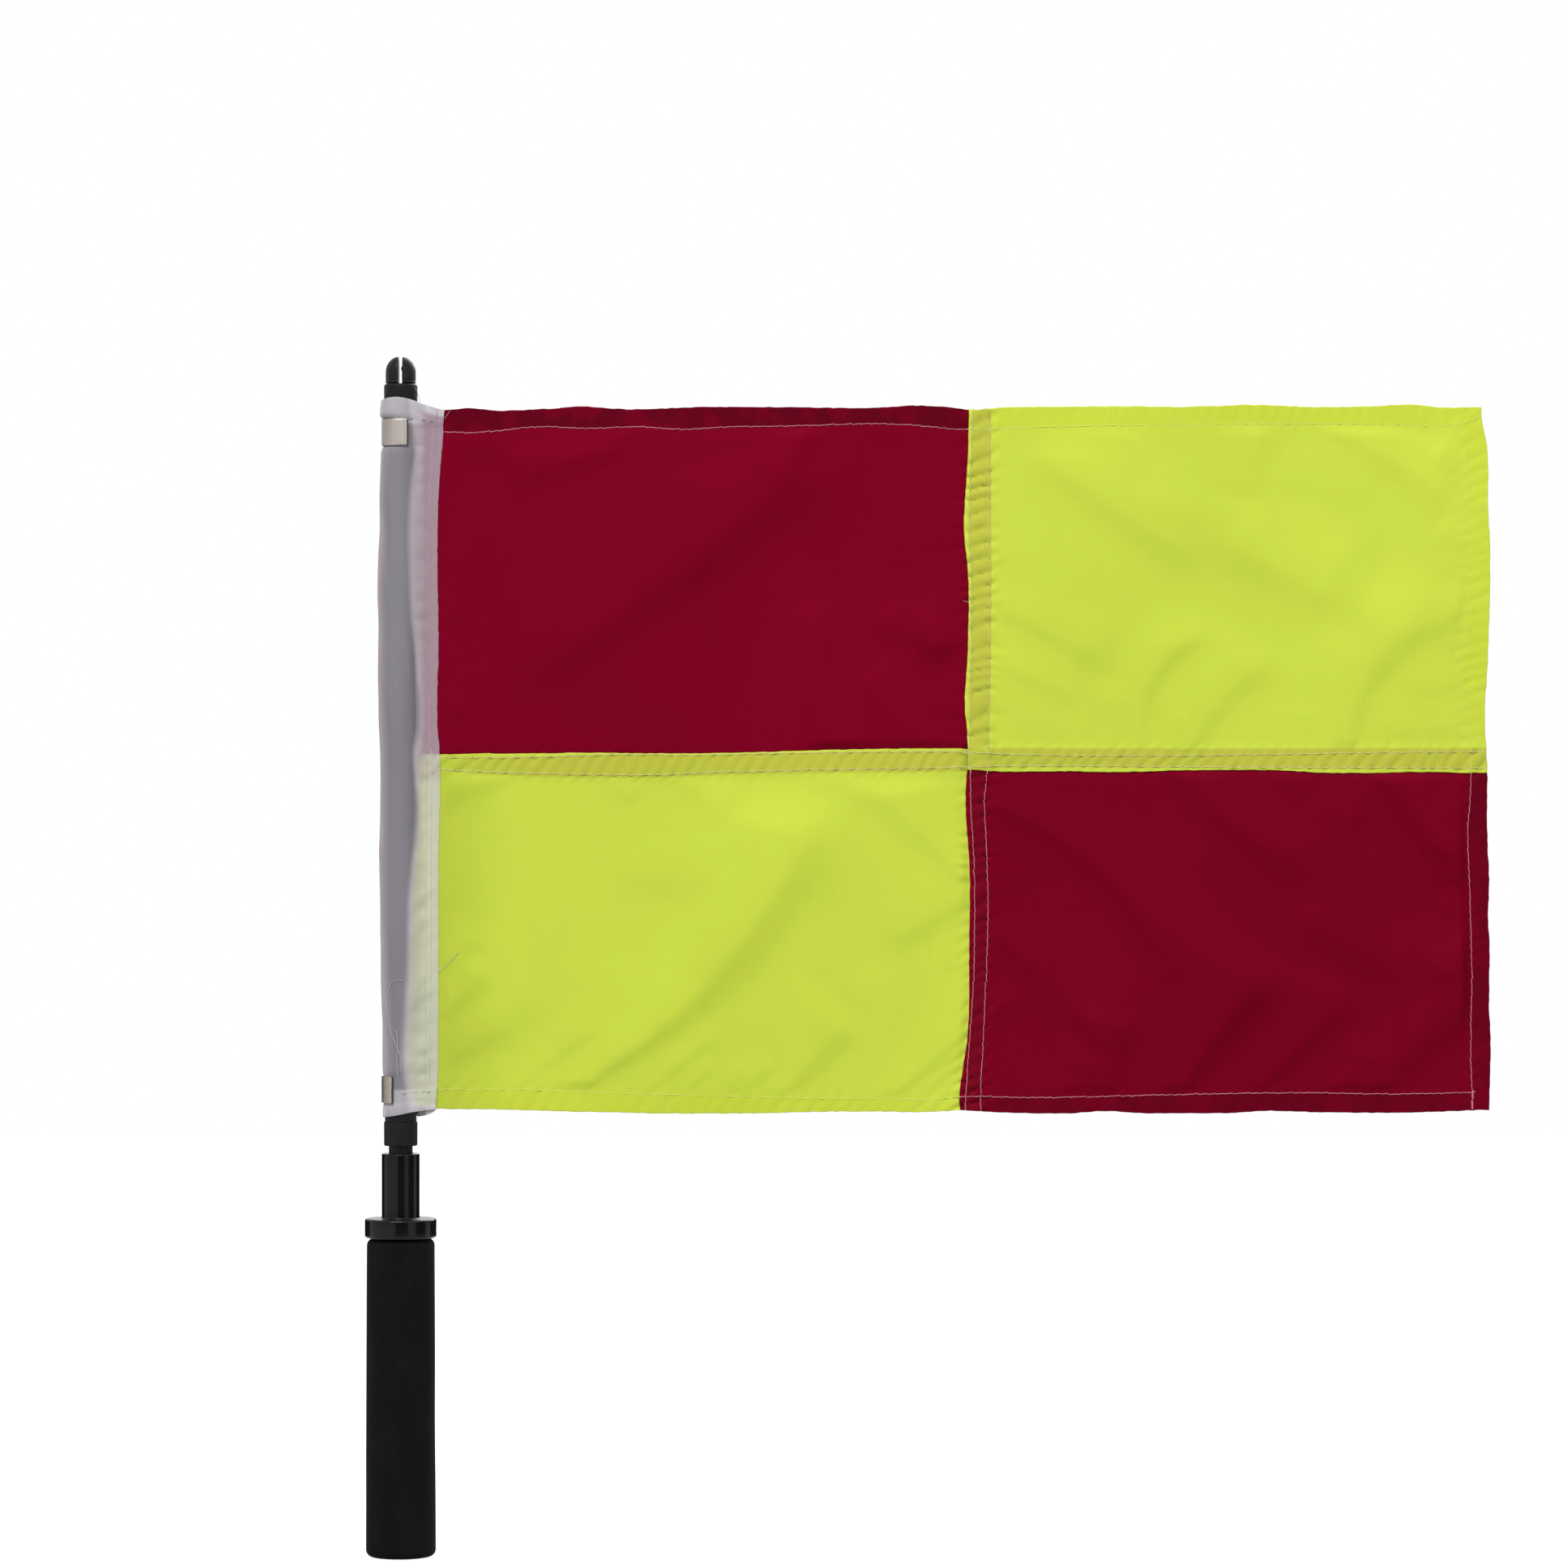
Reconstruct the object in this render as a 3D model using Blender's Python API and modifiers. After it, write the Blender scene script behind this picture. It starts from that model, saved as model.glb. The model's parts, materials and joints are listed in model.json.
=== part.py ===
"""Linesman flag: a quartered cloth on a tube that swivels on the spindle of a foam handle.

The pole's axis is Z and the grip's end face is at Z 0. The cloth flies towards +X and its
front looks towards -Y. All sizes are in metres.
"""

import math

import bmesh
import bpy

# Clearances
SEAT_GAP = 0.0003
RUNNING_GAP = 0.00035
SPIGOT_GAP = 0.0002

# Foam grip
GRIP_LENGTH = 0.136
GRIP_TOP_RADIUS = 0.0145
GRIP_BOTTOM_RADIUS = 0.0150
GRIP_CORNER = 0.0029

# Handle core: the moulding with the guard flange and the stem
STEM_RADIUS = 0.0081
STEM_LENGTH = 0.0278
GUARD_RADIUS = 0.01535
GUARD_THICKNESS = 0.0083
GUARD_EDGE = 0.0010
PLUG_HEAD = 0.003
PLUG_SPIGOT = 0.012

# Spindle and its split snap tip
SPINDLE_RADIUS = 0.0051
SPINDLE_ROOT = 0.045
END_FLOAT = 0.0033
BARB_RADIUS = 0.0065
BARB_LIP = 0.0015
TIP_LENGTH = 0.0113
TIP_CROWN_RADIUS = 0.0022
SLOT_WIDTH = 0.0018
SLOT_DEPTH = 0.028
BULLET_STEPS = 7

# Swivel tube and its end bushes
TUBE_RADIUS = 0.00675
TUBE_WALL = 0.0006
BUSH_HEAD_RADIUS = 0.00715
BUSH_HEAD_LENGTH = 0.010
BUSH_SPIGOT_LENGTH = 0.012
BUSH_EDGE = 0.0008

# Cloth
CLOTH_THICKNESS = 0.0004
HEM_THICKNESS = 0.0008
CLOTH_HEIGHT = 0.3006
HOIST_PANEL_WIDTH = 0.2350
FLY_PANEL_WIDTH = 0.2231
LOWER_PANEL_HEIGHT = 0.1451
UPRIGHT_LAP = 0.0103
LEVEL_LAP = 0.0090
HEM_DEPTH = 0.0078
FLY_HEM_DEPTH = 0.0094
LAP_RAMP = 0.004
CELL = 0.0115

# The cloth's slack: two long waves, and the margin that seams and hems hold flat
WIDE_WAVE_HEIGHT = 0.0024
WIDE_WAVE_LENGTH = 0.300
WIDE_WAVE_SLANT = 0.55
WIDE_WAVE_START = 0.6
NARROW_WAVE_HEIGHT = 0.0011
NARROW_WAVE_LENGTH = 0.190
NARROW_WAVE_SLANT = -0.8
NARROW_WAVE_START = 2.1
WAVE_FREE_AFTER = 0.110
FLAT_MARGIN = 0.010
FOLD_FADE = 0.028

# Pole sleeve: rise and drop are the lengths of bare pole below and above it
SLEEVE_RISE = 0.0133
SLEEVE_DROP = 0.0060
SLEEVE_WALL = 0.0004
SLEEVE_BELOW_CLOTH = 0.0018
SLEEVE_ABOVE_CLOTH = 0.0043
SLEEVE_TAIL = 0.0086
SLEEVE_EASE = 0.0005
SLEEVE_BULGE = 0.00115
SLEEVE_FOLD_HEIGHT = 0.0003
SLEEVE_FOLD_LENGTH = 0.190
SLEEVE_DRAW_IN = 0.004
SLEEVE_TURN_STEPS = 17
SLEEVE_ROW_STEP = 0.035
HOIST_EDGE_GAP = 0.0010
SLEEVE_NECK_ANGLE = math.radians(10)
SLEEVE_HEM_DEPTH = 0.0096

# Clips
CLIP_HEIGHT = 0.0113
CLIP_WALL = 0.0005
CLIP_ARC = math.radians(232)
CLIP_EDGE = 0.00012
CLIP_STEPS = 14
UPPER_CLIP_DROP = 0.0092
LOWER_CLIP_RISE = 0.0052
UPPER_CLIP_TURN = 0.0
LOWER_CLIP_TURN = math.radians(46)

# Stitching
THREAD_RADIUS = 0.0002
STITCH_INSET = 0.0010
THREAD_STEP = 0.008
CROSSING_REACH = 0.0012

ROUND_STEPS = 40

# Heights that follow from the sizes above
guard_bottom = GRIP_LENGTH + SEAT_GAP
guard_top = guard_bottom + GUARD_THICKNESS
stem_top = guard_top + STEM_LENGTH
lower_bush_face = stem_top + END_FLOAT
sleeve_bottom = lower_bush_face + SLEEVE_RISE
cloth_bottom = sleeve_bottom + SLEEVE_BELOW_CLOTH
cloth_top = cloth_bottom + CLOTH_HEIGHT
sleeve_top = cloth_top + SLEEVE_ABOVE_CLOTH
upper_bush_face = sleeve_top + SLEEVE_DROP
barb_base = upper_bush_face + SEAT_GAP
tip_top = barb_base + TIP_LENGTH
level_lap_bottom = cloth_bottom + LOWER_PANEL_HEIGHT
level_lap_top = level_lap_bottom + LEVEL_LAP

# Places across the flag that follow from the sizes above
core_bore = SPINDLE_RADIUS + SEAT_GAP
bush_bore = SPINDLE_RADIUS + RUNNING_GAP
sleeve_snug = TUBE_RADIUS + SEAT_GAP + SLEEVE_WALL / 2
clip_inner = sleeve_snug + SLEEVE_WALL / 2 + SEAT_GAP
hoist_edge = TUBE_RADIUS + HOIST_EDGE_GAP
sleeve_edge = hoist_edge + SLEEVE_TAIL
upright_lap_left = hoist_edge + HOIST_PANEL_WIDTH
upright_lap_right = upright_lap_left + UPRIGHT_LAP
fly_edge = upright_lap_left + FLY_PANEL_WIDTH
lap_shift = (CLOTH_THICKNESS + SEAT_GAP) / 2
stack_half = max(lap_shift + CLOTH_THICKNESS / 2, HEM_THICKNESS - CLOTH_THICKNESS / 2)
sleeve_tail_y = stack_half + SEAT_GAP + SLEEVE_WALL / 2
lower_clip_bottom = sleeve_bottom + LOWER_CLIP_RISE
upper_clip_bottom = sleeve_top - UPPER_CLIP_DROP - CLIP_HEIGHT


# Scene and materials

for leftover in list(bpy.data.objects):
    bpy.data.objects.remove(leftover, do_unlink=True)

parts = bpy.data.collections.new("linesman_flag")
cutters = bpy.data.collections.new("cutters")
bpy.context.scene.collection.children.link(parts)
bpy.context.scene.collection.children.link(cutters)


def material(name, colour, roughness, metallic=0.0):
    """A Principled material with one plain colour."""
    made = bpy.data.materials.new(name)
    made.use_nodes = True
    shader = made.node_tree.nodes["Principled BSDF"]
    shader.inputs["Base Color"].default_value = (*colour, 1.0)
    shader.inputs["Roughness"].default_value = roughness
    shader.inputs["Metallic"].default_value = metallic
    return made


gloss_nylon = material("gloss_nylon", (0.020, 0.019, 0.021), 0.22)
satin_nylon = material("satin_nylon", (0.022, 0.023, 0.024), 0.40)
black_tube = material("black_tube", (0.017, 0.016, 0.017), 0.55)
black_foam = material("black_foam", (0.009, 0.008, 0.008), 0.95)
red_cloth = material("red_cloth", (0.200, 0.001, 0.014), 0.75)
yellow_cloth = material("yellow_cloth", (0.580, 0.700, 0.075), 0.75)
white_cloth = material("white_cloth", (0.480, 0.450, 0.480), 0.80)
nickel = material("nickel", (0.520, 0.450, 0.400), 0.32, 1.0)
red_side_thread = material("red_side_thread", (0.620, 0.420, 0.400), 0.7)
yellow_side_thread = material("yellow_side_thread", (0.640, 0.560, 0.250), 0.7)
white_thread = material("white_thread", (0.660, 0.630, 0.640), 0.7)


def add_part(name, mesh, look):
    """Put a mesh in the scene as one named part."""
    part = bpy.data.objects.new(name, mesh)
    mesh.materials.clear()
    mesh.materials.append(look)
    parts.objects.link(part)
    return part


# Turned pieces

def arc(centre_r, centre_z, radius, start, end, steps=4):
    """Points of a round corner, as (radius from the axis, height)."""
    turns = [math.radians(start + (end - start) * i / steps) for i in range(steps + 1)]
    return [(centre_r + radius * math.cos(t), centre_z + radius * math.sin(t)) for t in turns]


def turned(name, outline, look, looped):
    """Turn an outline round Z. It runs down the outer side, from the top to the bottom."""
    mesh = bpy.data.meshes.new(name)
    points = [(r, 0.0, z) for r, z in outline]
    edges = [(i, i + 1) for i in range(len(points) - 1)]
    if looped:
        edges.append((len(points) - 1, 0))
    mesh.from_pydata(points, edges, [])
    part = add_part(name, mesh, look)
    screw = part.modifiers.new("turn", "SCREW")
    screw.axis = "Z"
    screw.angle = math.tau
    screw.steps = ROUND_STEPS
    screw.render_steps = ROUND_STEPS
    screw.use_merge_vertices = True
    screw.merge_threshold = 0.00001
    screw.use_smooth_shade = True
    return part


def build_foam_grip():
    """Foam sleeve with round shoulders, a little thicker at its lower end."""
    bore = STEM_RADIUS + SEAT_GAP
    top = arc(GRIP_TOP_RADIUS - GRIP_CORNER, GRIP_LENGTH - GRIP_CORNER, GRIP_CORNER, 90, 0)
    bottom = arc(GRIP_BOTTOM_RADIUS - GRIP_CORNER, GRIP_CORNER, GRIP_CORNER, 0, -90)
    outline = [(bore, GRIP_LENGTH)] + top + bottom + [(bore, 0.0)]
    turned("foam_grip", outline, black_foam, looped=True)


def build_handle_core():
    """Hollow moulding: the core inside the foam, the guard flange and the stem above it."""
    reach = GUARD_RADIUS - GUARD_EDGE
    upper_edge = arc(reach, guard_top - GUARD_EDGE, GUARD_EDGE, 90, 0)
    lower_edge = arc(reach, guard_bottom + GUARD_EDGE, GUARD_EDGE, 0, -90)
    core_bottom = PLUG_HEAD + SEAT_GAP
    outline = [(core_bore, stem_top), (STEM_RADIUS, stem_top), (STEM_RADIUS, guard_top)]
    outline += upper_edge + lower_edge
    outline += [(STEM_RADIUS, guard_bottom), (STEM_RADIUS, core_bottom), (core_bore, core_bottom)]
    turned("handle_core", outline, gloss_nylon, looped=True)


def build_end_plug():
    """Plug that closes the core's lower end, flush with the foam."""
    spigot_radius = core_bore - SPIGOT_GAP
    plug_top = PLUG_HEAD + PLUG_SPIGOT
    outline = [
        (0.0, plug_top),
        (spigot_radius, plug_top),
        (spigot_radius, PLUG_HEAD),
        (STEM_RADIUS, PLUG_HEAD),
        (STEM_RADIUS, 0.0),
        (0.0, 0.0),
    ]
    turned("end_plug", outline, satin_nylon, looped=False)


def tip_outline():
    """The barbed tip from its crown down to the spindle, as a bullet with a short lip."""
    lip_top = barb_base + BARB_LIP
    crown_height = tip_top - lip_top
    bullet = []
    for i in range(BULLET_STEPS + 1):
        turn = math.radians(90 * (1 - i / BULLET_STEPS))
        spread = TIP_CROWN_RADIUS + (BARB_RADIUS - TIP_CROWN_RADIUS) * math.cos(turn)
        bullet.append((spread, lip_top + crown_height * math.sin(turn)))
    return [(0.0, tip_top)] + bullet + [(BARB_RADIUS, barb_base)]


def build_spindle():
    """Rod from inside the core to the tip, split at the top so that the barbs can spring in."""
    root_bottom = stem_top - SPINDLE_ROOT
    outline = tip_outline()
    outline += [(SPINDLE_RADIUS, barb_base), (SPINDLE_RADIUS, root_bottom), (0.0, root_bottom)]
    spindle = turned("spindle", outline, satin_nylon, looped=False)
    bpy.ops.mesh.primitive_cube_add(size=1.0)
    slot = bpy.context.object
    slot.name = "slot_cutter"
    slot.location = (0.0, 0.0, tip_top)
    slot.scale = (SLOT_WIDTH, 4 * BARB_RADIUS, 2 * SLOT_DEPTH)
    for home in list(slot.users_collection):
        home.objects.unlink(slot)
    cutters.objects.link(slot)
    slot.hide_render = True
    slot.display_type = "WIRE"
    cut = spindle.modifiers.new("slot", "BOOLEAN")
    cut.operation = "DIFFERENCE"
    cut.solver = "EXACT"
    cut.object = slot


def build_swivel_tube():
    """Thin tube between the heads of the two bushes."""
    low = lower_bush_face + BUSH_HEAD_LENGTH + SEAT_GAP
    high = upper_bush_face - BUSH_HEAD_LENGTH - SEAT_GAP
    bore = TUBE_RADIUS - TUBE_WALL
    outline = [(bore, high), (TUBE_RADIUS, high), (TUBE_RADIUS, low), (bore, low)]
    turned("swivel_tube", outline, black_tube, looped=True)


def build_bush(name, face, inward):
    """Bearing bush with its head outside the tube. Inward is 1 if the tube lies above it."""
    spigot = TUBE_RADIUS - TUBE_WALL - SPIGOT_GAP
    shoulder = face + inward * BUSH_HEAD_LENGTH
    tail = shoulder + inward * BUSH_SPIGOT_LENGTH
    corner_z = face + inward * BUSH_EDGE
    corner_r = BUSH_HEAD_RADIUS - BUSH_EDGE
    edge = arc(corner_r, corner_z, BUSH_EDGE, -90 * inward, 0)
    outline = [(bush_bore, face)] + edge
    outline += [(BUSH_HEAD_RADIUS, shoulder), (spigot, shoulder), (spigot, tail), (bush_bore, tail)]
    if inward > 0:
        outline.reverse()
    turned(name, outline, black_tube, looped=True)


# The cloth's surface

def rise(value, start, end):
    """0 at start, 1 at end and straight between, also where end is the smaller."""
    return min(1.0, max(0.0, (value - start) / (end - start)))


def smooth(value):
    """A soft start and stop for a share from 0 to 1."""
    return value * value * (3 - 2 * value)


def undulation(x, z):
    """Long slack waves of the whole cloth, which start at the sleeve."""
    along = x - sleeve_edge
    free = smooth(rise(along, 0.0, WAVE_FREE_AFTER))
    height = z - cloth_bottom
    wide_turn = (along + WIDE_WAVE_SLANT * height) / WIDE_WAVE_LENGTH
    narrow_turn = (along + NARROW_WAVE_SLANT * height) / NARROW_WAVE_LENGTH
    wide = WIDE_WAVE_HEIGHT * math.sin(math.tau * wide_turn + WIDE_WAVE_START)
    narrow = NARROW_WAVE_HEIGHT * math.sin(math.tau * narrow_turn + NARROW_WAVE_START)
    return free * (wide + narrow)


# Main folds of each panel: start and end as shares of the panel's width and height, then the
# fold's half width and height as shares of the sizes named here. A negative height is a hollow.
FOLD_HALF_WIDTH = 0.014
FOLD_HEIGHT = 0.0030
FOLD_TAPER = 1.6
FOLDS = {
    "red_panel_upper": [
        ((0.25, 0.31), (0.62, 0.69), 1.15, 1.00),
        ((0.12, 0.80), (0.35, 0.56), 1.00, -0.55),
    ],
    "yellow_panel_upper": [
        ((0.12, 0.84), (0.40, 0.55), 0.95, 1.00),
        ((0.49, 0.65), (0.70, 0.44), 1.00, 1.20),
        ((0.71, 0.38), (0.92, 0.29), 0.95, 0.85),
        ((0.25, 0.29), (0.43, 0.13), 0.85, -0.60),
    ],
    "yellow_panel_lower": [
        ((0.33, 0.11), (0.68, 0.74), 1.00, 1.10),
        ((0.19, 0.87), (0.45, 0.65), 0.95, -0.65),
        ((0.73, 0.71), (0.92, 0.49), 0.95, 0.65),
    ],
    "red_panel_lower": [
        ((0.06, 0.88), (0.40, 0.47), 1.05, 0.90),
        ((0.56, 0.29), (0.79, 0.73), 1.05, 0.85),
    ],
}


def fold_height(name, x, z):
    """A panel's main folds, each a soft ridge or hollow along a straight line."""
    left, right, bottom, top = PANELS[name]["box"]
    total = 0.0
    for (start_x, start_z), (end_x, end_z), width_share, height_share in FOLDS[name]:
        ax, az = left + (right - left) * start_x, bottom + (top - bottom) * start_z
        bx, bz = left + (right - left) * end_x, bottom + (top - bottom) * end_z
        length = math.hypot(bx - ax, bz - az)
        ux, uz = (bx - ax) / length, (bz - az) / length
        along = (x - ax) * ux + (z - az) * uz
        across = (z - az) * ux - (x - ax) * uz
        past = max(0.0, -along, along - length)
        half_width = width_share * FOLD_HALF_WIDTH
        fade = (across / half_width) ** 2 + (past / (FOLD_TAPER * half_width)) ** 2
        total += height_share * FOLD_HEIGHT * math.exp(-fade)
    return total


def upright_share(x):
    """1 in the lap of the upright seam, 0 away from it."""
    left = rise(x, upright_lap_left - LAP_RAMP, upright_lap_left)
    right = rise(x, upright_lap_right + LAP_RAMP, upright_lap_right)
    return min(left, right)


def level_share(z):
    """1 in the lap of the level seam, 0 away from it."""
    low = rise(z, level_lap_bottom - LAP_RAMP, level_lap_bottom)
    high = rise(z, level_lap_top + LAP_RAMP, level_lap_top)
    return min(low, high)


def in_front(x, z):
    """Shift of the panel that lies in front in both of its laps."""
    return -lap_shift * max(upright_share(x), level_share(z))


def behind(x, z):
    """Shift of the panel that lies behind in both of its laps."""
    return lap_shift * max(upright_share(x), level_share(z))


def front_level_behind_upright(x, z):
    """Shift of the lower hoist panel: over the level seam, under the upright one."""
    level = level_share(z)
    return -lap_shift * level + lap_shift * upright_share(x) * (1 - level)


def front_upright_behind_level(x, z):
    """Shift of the lower fly panel: over the upright seam, under the level one."""
    level = level_share(z)
    return -lap_shift * upright_share(x) * (1 - level) + lap_shift * level


# Each panel: its box as left, right, bottom and top, its shift in the laps, the corner that is
# left out where all four meet, and its colour
corner_left = upright_lap_left - SEAT_GAP
PANELS = {
    "red_panel_upper": {
        "box": (hoist_edge, upright_lap_right, level_lap_bottom, cloth_top),
        "shift": behind,
        "corner": (corner_left, level_lap_bottom, level_lap_top + SEAT_GAP),
        "look": red_cloth,
    },
    "yellow_panel_upper": {
        "box": (upright_lap_left, fly_edge, level_lap_bottom, cloth_top),
        "shift": in_front,
        "corner": None,
        "look": yellow_cloth,
    },
    "yellow_panel_lower": {
        "box": (hoist_edge, upright_lap_right, cloth_bottom, level_lap_top),
        "shift": front_level_behind_upright,
        "corner": (corner_left, level_lap_bottom - LAP_RAMP - SEAT_GAP, level_lap_top),
        "look": yellow_cloth,
    },
    "red_panel_lower": {
        "box": (upright_lap_left, fly_edge, cloth_bottom, level_lap_top),
        "shift": front_upright_behind_level,
        "corner": None,
        "look": red_cloth,
    },
}


def panel_window(box, x, z):
    """1 inside a panel and 0 at its edges, so that the folds die out at seams and hems."""
    left, right, bottom, top = box
    inset = min(x - left, right - x, z - bottom, top - z)
    return smooth(rise(inset, FLAT_MARGIN, FLAT_MARGIN + FOLD_FADE))


def front_face(name, x, z):
    """Y of a panel's front face."""
    panel = PANELS[name]
    surface = undulation(x, z) + panel_window(panel["box"], x, z) * fold_height(name, x, z)
    return surface + panel["shift"](x, z) - CLOTH_THICKNESS / 2


def foremost_face(x, z):
    """Y of the foremost cloth at a place, or just beside an edge of it."""
    faces = []
    for name, panel in PANELS.items():
        left, right, bottom, top = panel["box"]
        near_x = left - LAP_RAMP <= x <= right + LAP_RAMP
        near_z = bottom - LAP_RAMP <= z <= top + LAP_RAMP
        if near_x and near_z:
            faces.append(front_face(name, x, z))
    return min(faces)


def spaced(start, end, marks, spacing):
    """Places from start to end that hold every mark and lie no further apart than spacing."""
    stops = [start] + sorted(m for m in marks if start < m < end) + [end]
    places = [start]
    for a, b in zip(stops, stops[1:]):
        count = max(1, math.ceil((b - a) / spacing - 0.001))
        places += [a + (b - a) * i / count for i in range(1, count + 1)]
    return places


def grid_mesh(name, columns, rows, place):
    """A sheet of quads with a vertex at place(column, row) for every column and row."""
    bm = bmesh.new()
    across, up = len(columns) - 1, len(rows) - 1
    bmesh.ops.create_grid(bm, x_segments=across, y_segments=up, size=1.0)
    for vertex in bm.verts:
        i = round((vertex.co.x + 1) / 2 * across)
        j = round((vertex.co.y + 1) / 2 * up)
        vertex.co = place(columns[i], rows[j])
    mesh = bpy.data.meshes.new(name)
    bm.to_mesh(mesh)
    bm.free()
    return mesh


def is_hemmed(panel, x, z):
    """True where the cloth is folded over at an outer edge, away from a lap in front."""
    left, right, bottom, top = panel["box"]
    small = 0.00001
    clear_x = x > upright_lap_right + LAP_RAMP - small or left < upright_lap_left - small
    clear_z = z > level_lap_top + LAP_RAMP - small or panel["shift"] is not in_front
    top_hem = top > level_lap_top + small and z > cloth_top - HEM_DEPTH - small
    bottom_hem = bottom < level_lap_bottom - small and z < cloth_bottom + HEM_DEPTH + small
    fly_hem = x > fly_edge - FLY_HEM_DEPTH - small
    return ((top_hem or bottom_hem) and clear_x) or (fly_hem and clear_z)


def build_panel(name):
    """One panel of cloth: its front face as a sheet, thickened towards the back."""
    panel = PANELS[name]
    left, right, bottom, top = panel["box"]
    x_marks = [
        upright_lap_left - LAP_RAMP,
        corner_left,
        upright_lap_right,
        upright_lap_right + LAP_RAMP,
        fly_edge - FLY_HEM_DEPTH,
    ]
    z_marks = [
        cloth_bottom + HEM_DEPTH,
        level_lap_bottom - LAP_RAMP - SEAT_GAP,
        level_lap_bottom - LAP_RAMP,
        level_lap_bottom,
        level_lap_top,
        level_lap_top + SEAT_GAP,
        level_lap_top + LAP_RAMP,
        cloth_top - HEM_DEPTH,
    ]
    if panel["corner"] is None:
        x_marks.remove(corner_left)
    columns = spaced(left, right, x_marks, CELL)
    rows = spaced(bottom, top, z_marks, CELL)
    mesh = grid_mesh(name, columns, rows, lambda x, z: (x, front_face(name, x, z), z))
    if panel["corner"]:
        corner_x, corner_low, corner_high = panel["corner"]
        bm = bmesh.new()
        bm.from_mesh(mesh)
        gone = []
        for face in bm.faces:
            middle = face.calc_center_median()
            if middle.x > corner_x and corner_low < middle.z < corner_high:
                gone.append(face)
        bmesh.ops.delete(bm, geom=gone, context="FACES")
        bm.to_mesh(mesh)
        bm.free()
    part = add_part(name, mesh, panel["look"])
    hem = part.vertex_groups.new(name="hem")
    hemmed = [v.index for v in mesh.vertices if is_hemmed(panel, v.co.x, v.co.z)]
    hem.add(hemmed, 1.0, "REPLACE")
    skin = part.modifiers.new("thickness", "SOLIDIFY")
    skin.thickness = HEM_THICKNESS
    skin.offset = -1.0
    skin.vertex_group = "hem"
    skin.thickness_vertex_group = CLOTH_THICKNESS / HEM_THICKNESS
    mesh.shade_smooth()


# The pole sleeve

def sleeve_slack(z):
    """0 where a clip draws the sleeve in, 1 where it is loose."""
    slack = 1.0
    for clip_bottom in (lower_clip_bottom, upper_clip_bottom):
        clip_top = clip_bottom + CLIP_HEIGHT
        above = rise(z, clip_top + SEAT_GAP, clip_top + SEAT_GAP + SLEEVE_DRAW_IN)
        below = rise(z, clip_bottom - SEAT_GAP, clip_bottom - SEAT_GAP - SLEEVE_DRAW_IN)
        slack = min(slack, smooth(max(above, below)))
    return slack


def sleeve_radius(angle, z):
    """Radius of the sleeve's middle surface. Angle 0 points along +X, to the cloth."""
    away_from_cloth = (1 - math.cos(angle)) / 2
    fold = SLEEVE_FOLD_HEIGHT * math.sin(3 * angle + math.tau * (z - sleeve_bottom) / SLEEVE_FOLD_LENGTH)
    return sleeve_snug + sleeve_slack(z) * (SLEEVE_EASE + away_from_cloth * (SLEEVE_BULGE + fold))


def sleeve_place(step, z):
    """A point of the sleeve: the front tail, round the tube, then the back tail."""
    kind, share = step
    if kind == "turn":
        angle = -SLEEVE_NECK_ANGLE - share * (math.tau - 2 * SLEEVE_NECK_ANGLE)
        radius = sleeve_radius(angle, z)
        return (radius * math.cos(angle), radius * math.sin(angle), z)
    neck_end = sleeve_snug + SLEEVE_EASE + HOIST_EDGE_GAP
    x = neck_end + (sleeve_edge - neck_end) * share
    side = -1 if kind == "front" else 1
    return (x, side * sleeve_tail_y, z)


def build_sleeve():
    """White sleeve: a strip wrapped round the tube, its two tails over the cloth's edge."""
    columns = [("front", 1.0), ("front", 0.5), ("front", 0.0)]
    columns += [("turn", i / SLEEVE_TURN_STEPS) for i in range(SLEEVE_TURN_STEPS + 1)]
    columns += [("back", 0.0), ("back", 0.5), ("back", 1.0)]
    marks = []
    for clip_bottom in (lower_clip_bottom, upper_clip_bottom):
        clip_top = clip_bottom + CLIP_HEIGHT
        for share in (1.0, 0.5, 0.0):
            marks.append(clip_bottom - SEAT_GAP - share * SLEEVE_DRAW_IN)
            marks.append(clip_top + SEAT_GAP + share * SLEEVE_DRAW_IN)
    rows = spaced(sleeve_bottom, sleeve_top, marks, SLEEVE_ROW_STEP)
    mesh = grid_mesh("hoist_sleeve", columns, rows, sleeve_place)
    part = add_part("hoist_sleeve", mesh, white_cloth)
    skin = part.modifiers.new("thickness", "SOLIDIFY")
    skin.thickness = SLEEVE_WALL
    skin.offset = 0.0
    mesh.shade_smooth()


# The clips

def build_clip(name, bottom, turn):
    """Springy C-clip round the sleeve. Its gap faces the cloth before it is turned."""
    columns = [i / CLIP_STEPS for i in range(CLIP_STEPS + 1)]
    rows = [0.0, CLIP_HEIGHT]
    middle = clip_inner + CLIP_WALL / 2

    def place(share, height):
        angle = -(math.tau - CLIP_ARC) / 2 - share * CLIP_ARC
        return (middle * math.cos(angle), middle * math.sin(angle), height)

    mesh = grid_mesh(name, columns, rows, place)
    part = add_part(name, mesh, nickel)
    part.location = (0.0, 0.0, bottom)
    part.rotation_euler = (0.0, 0.0, -turn)
    skin = part.modifiers.new("thickness", "SOLIDIFY")
    skin.thickness = CLIP_WALL
    skin.offset = 0.0
    skin.use_even_offset = True
    edge = part.modifiers.new("edges", "BEVEL")
    edge.width = CLIP_EDGE
    edge.segments = 1
    edge.limit_method = "ANGLE"
    edge.angle_limit = math.radians(50)
    mesh.shade_smooth()


# Stitching

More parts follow.
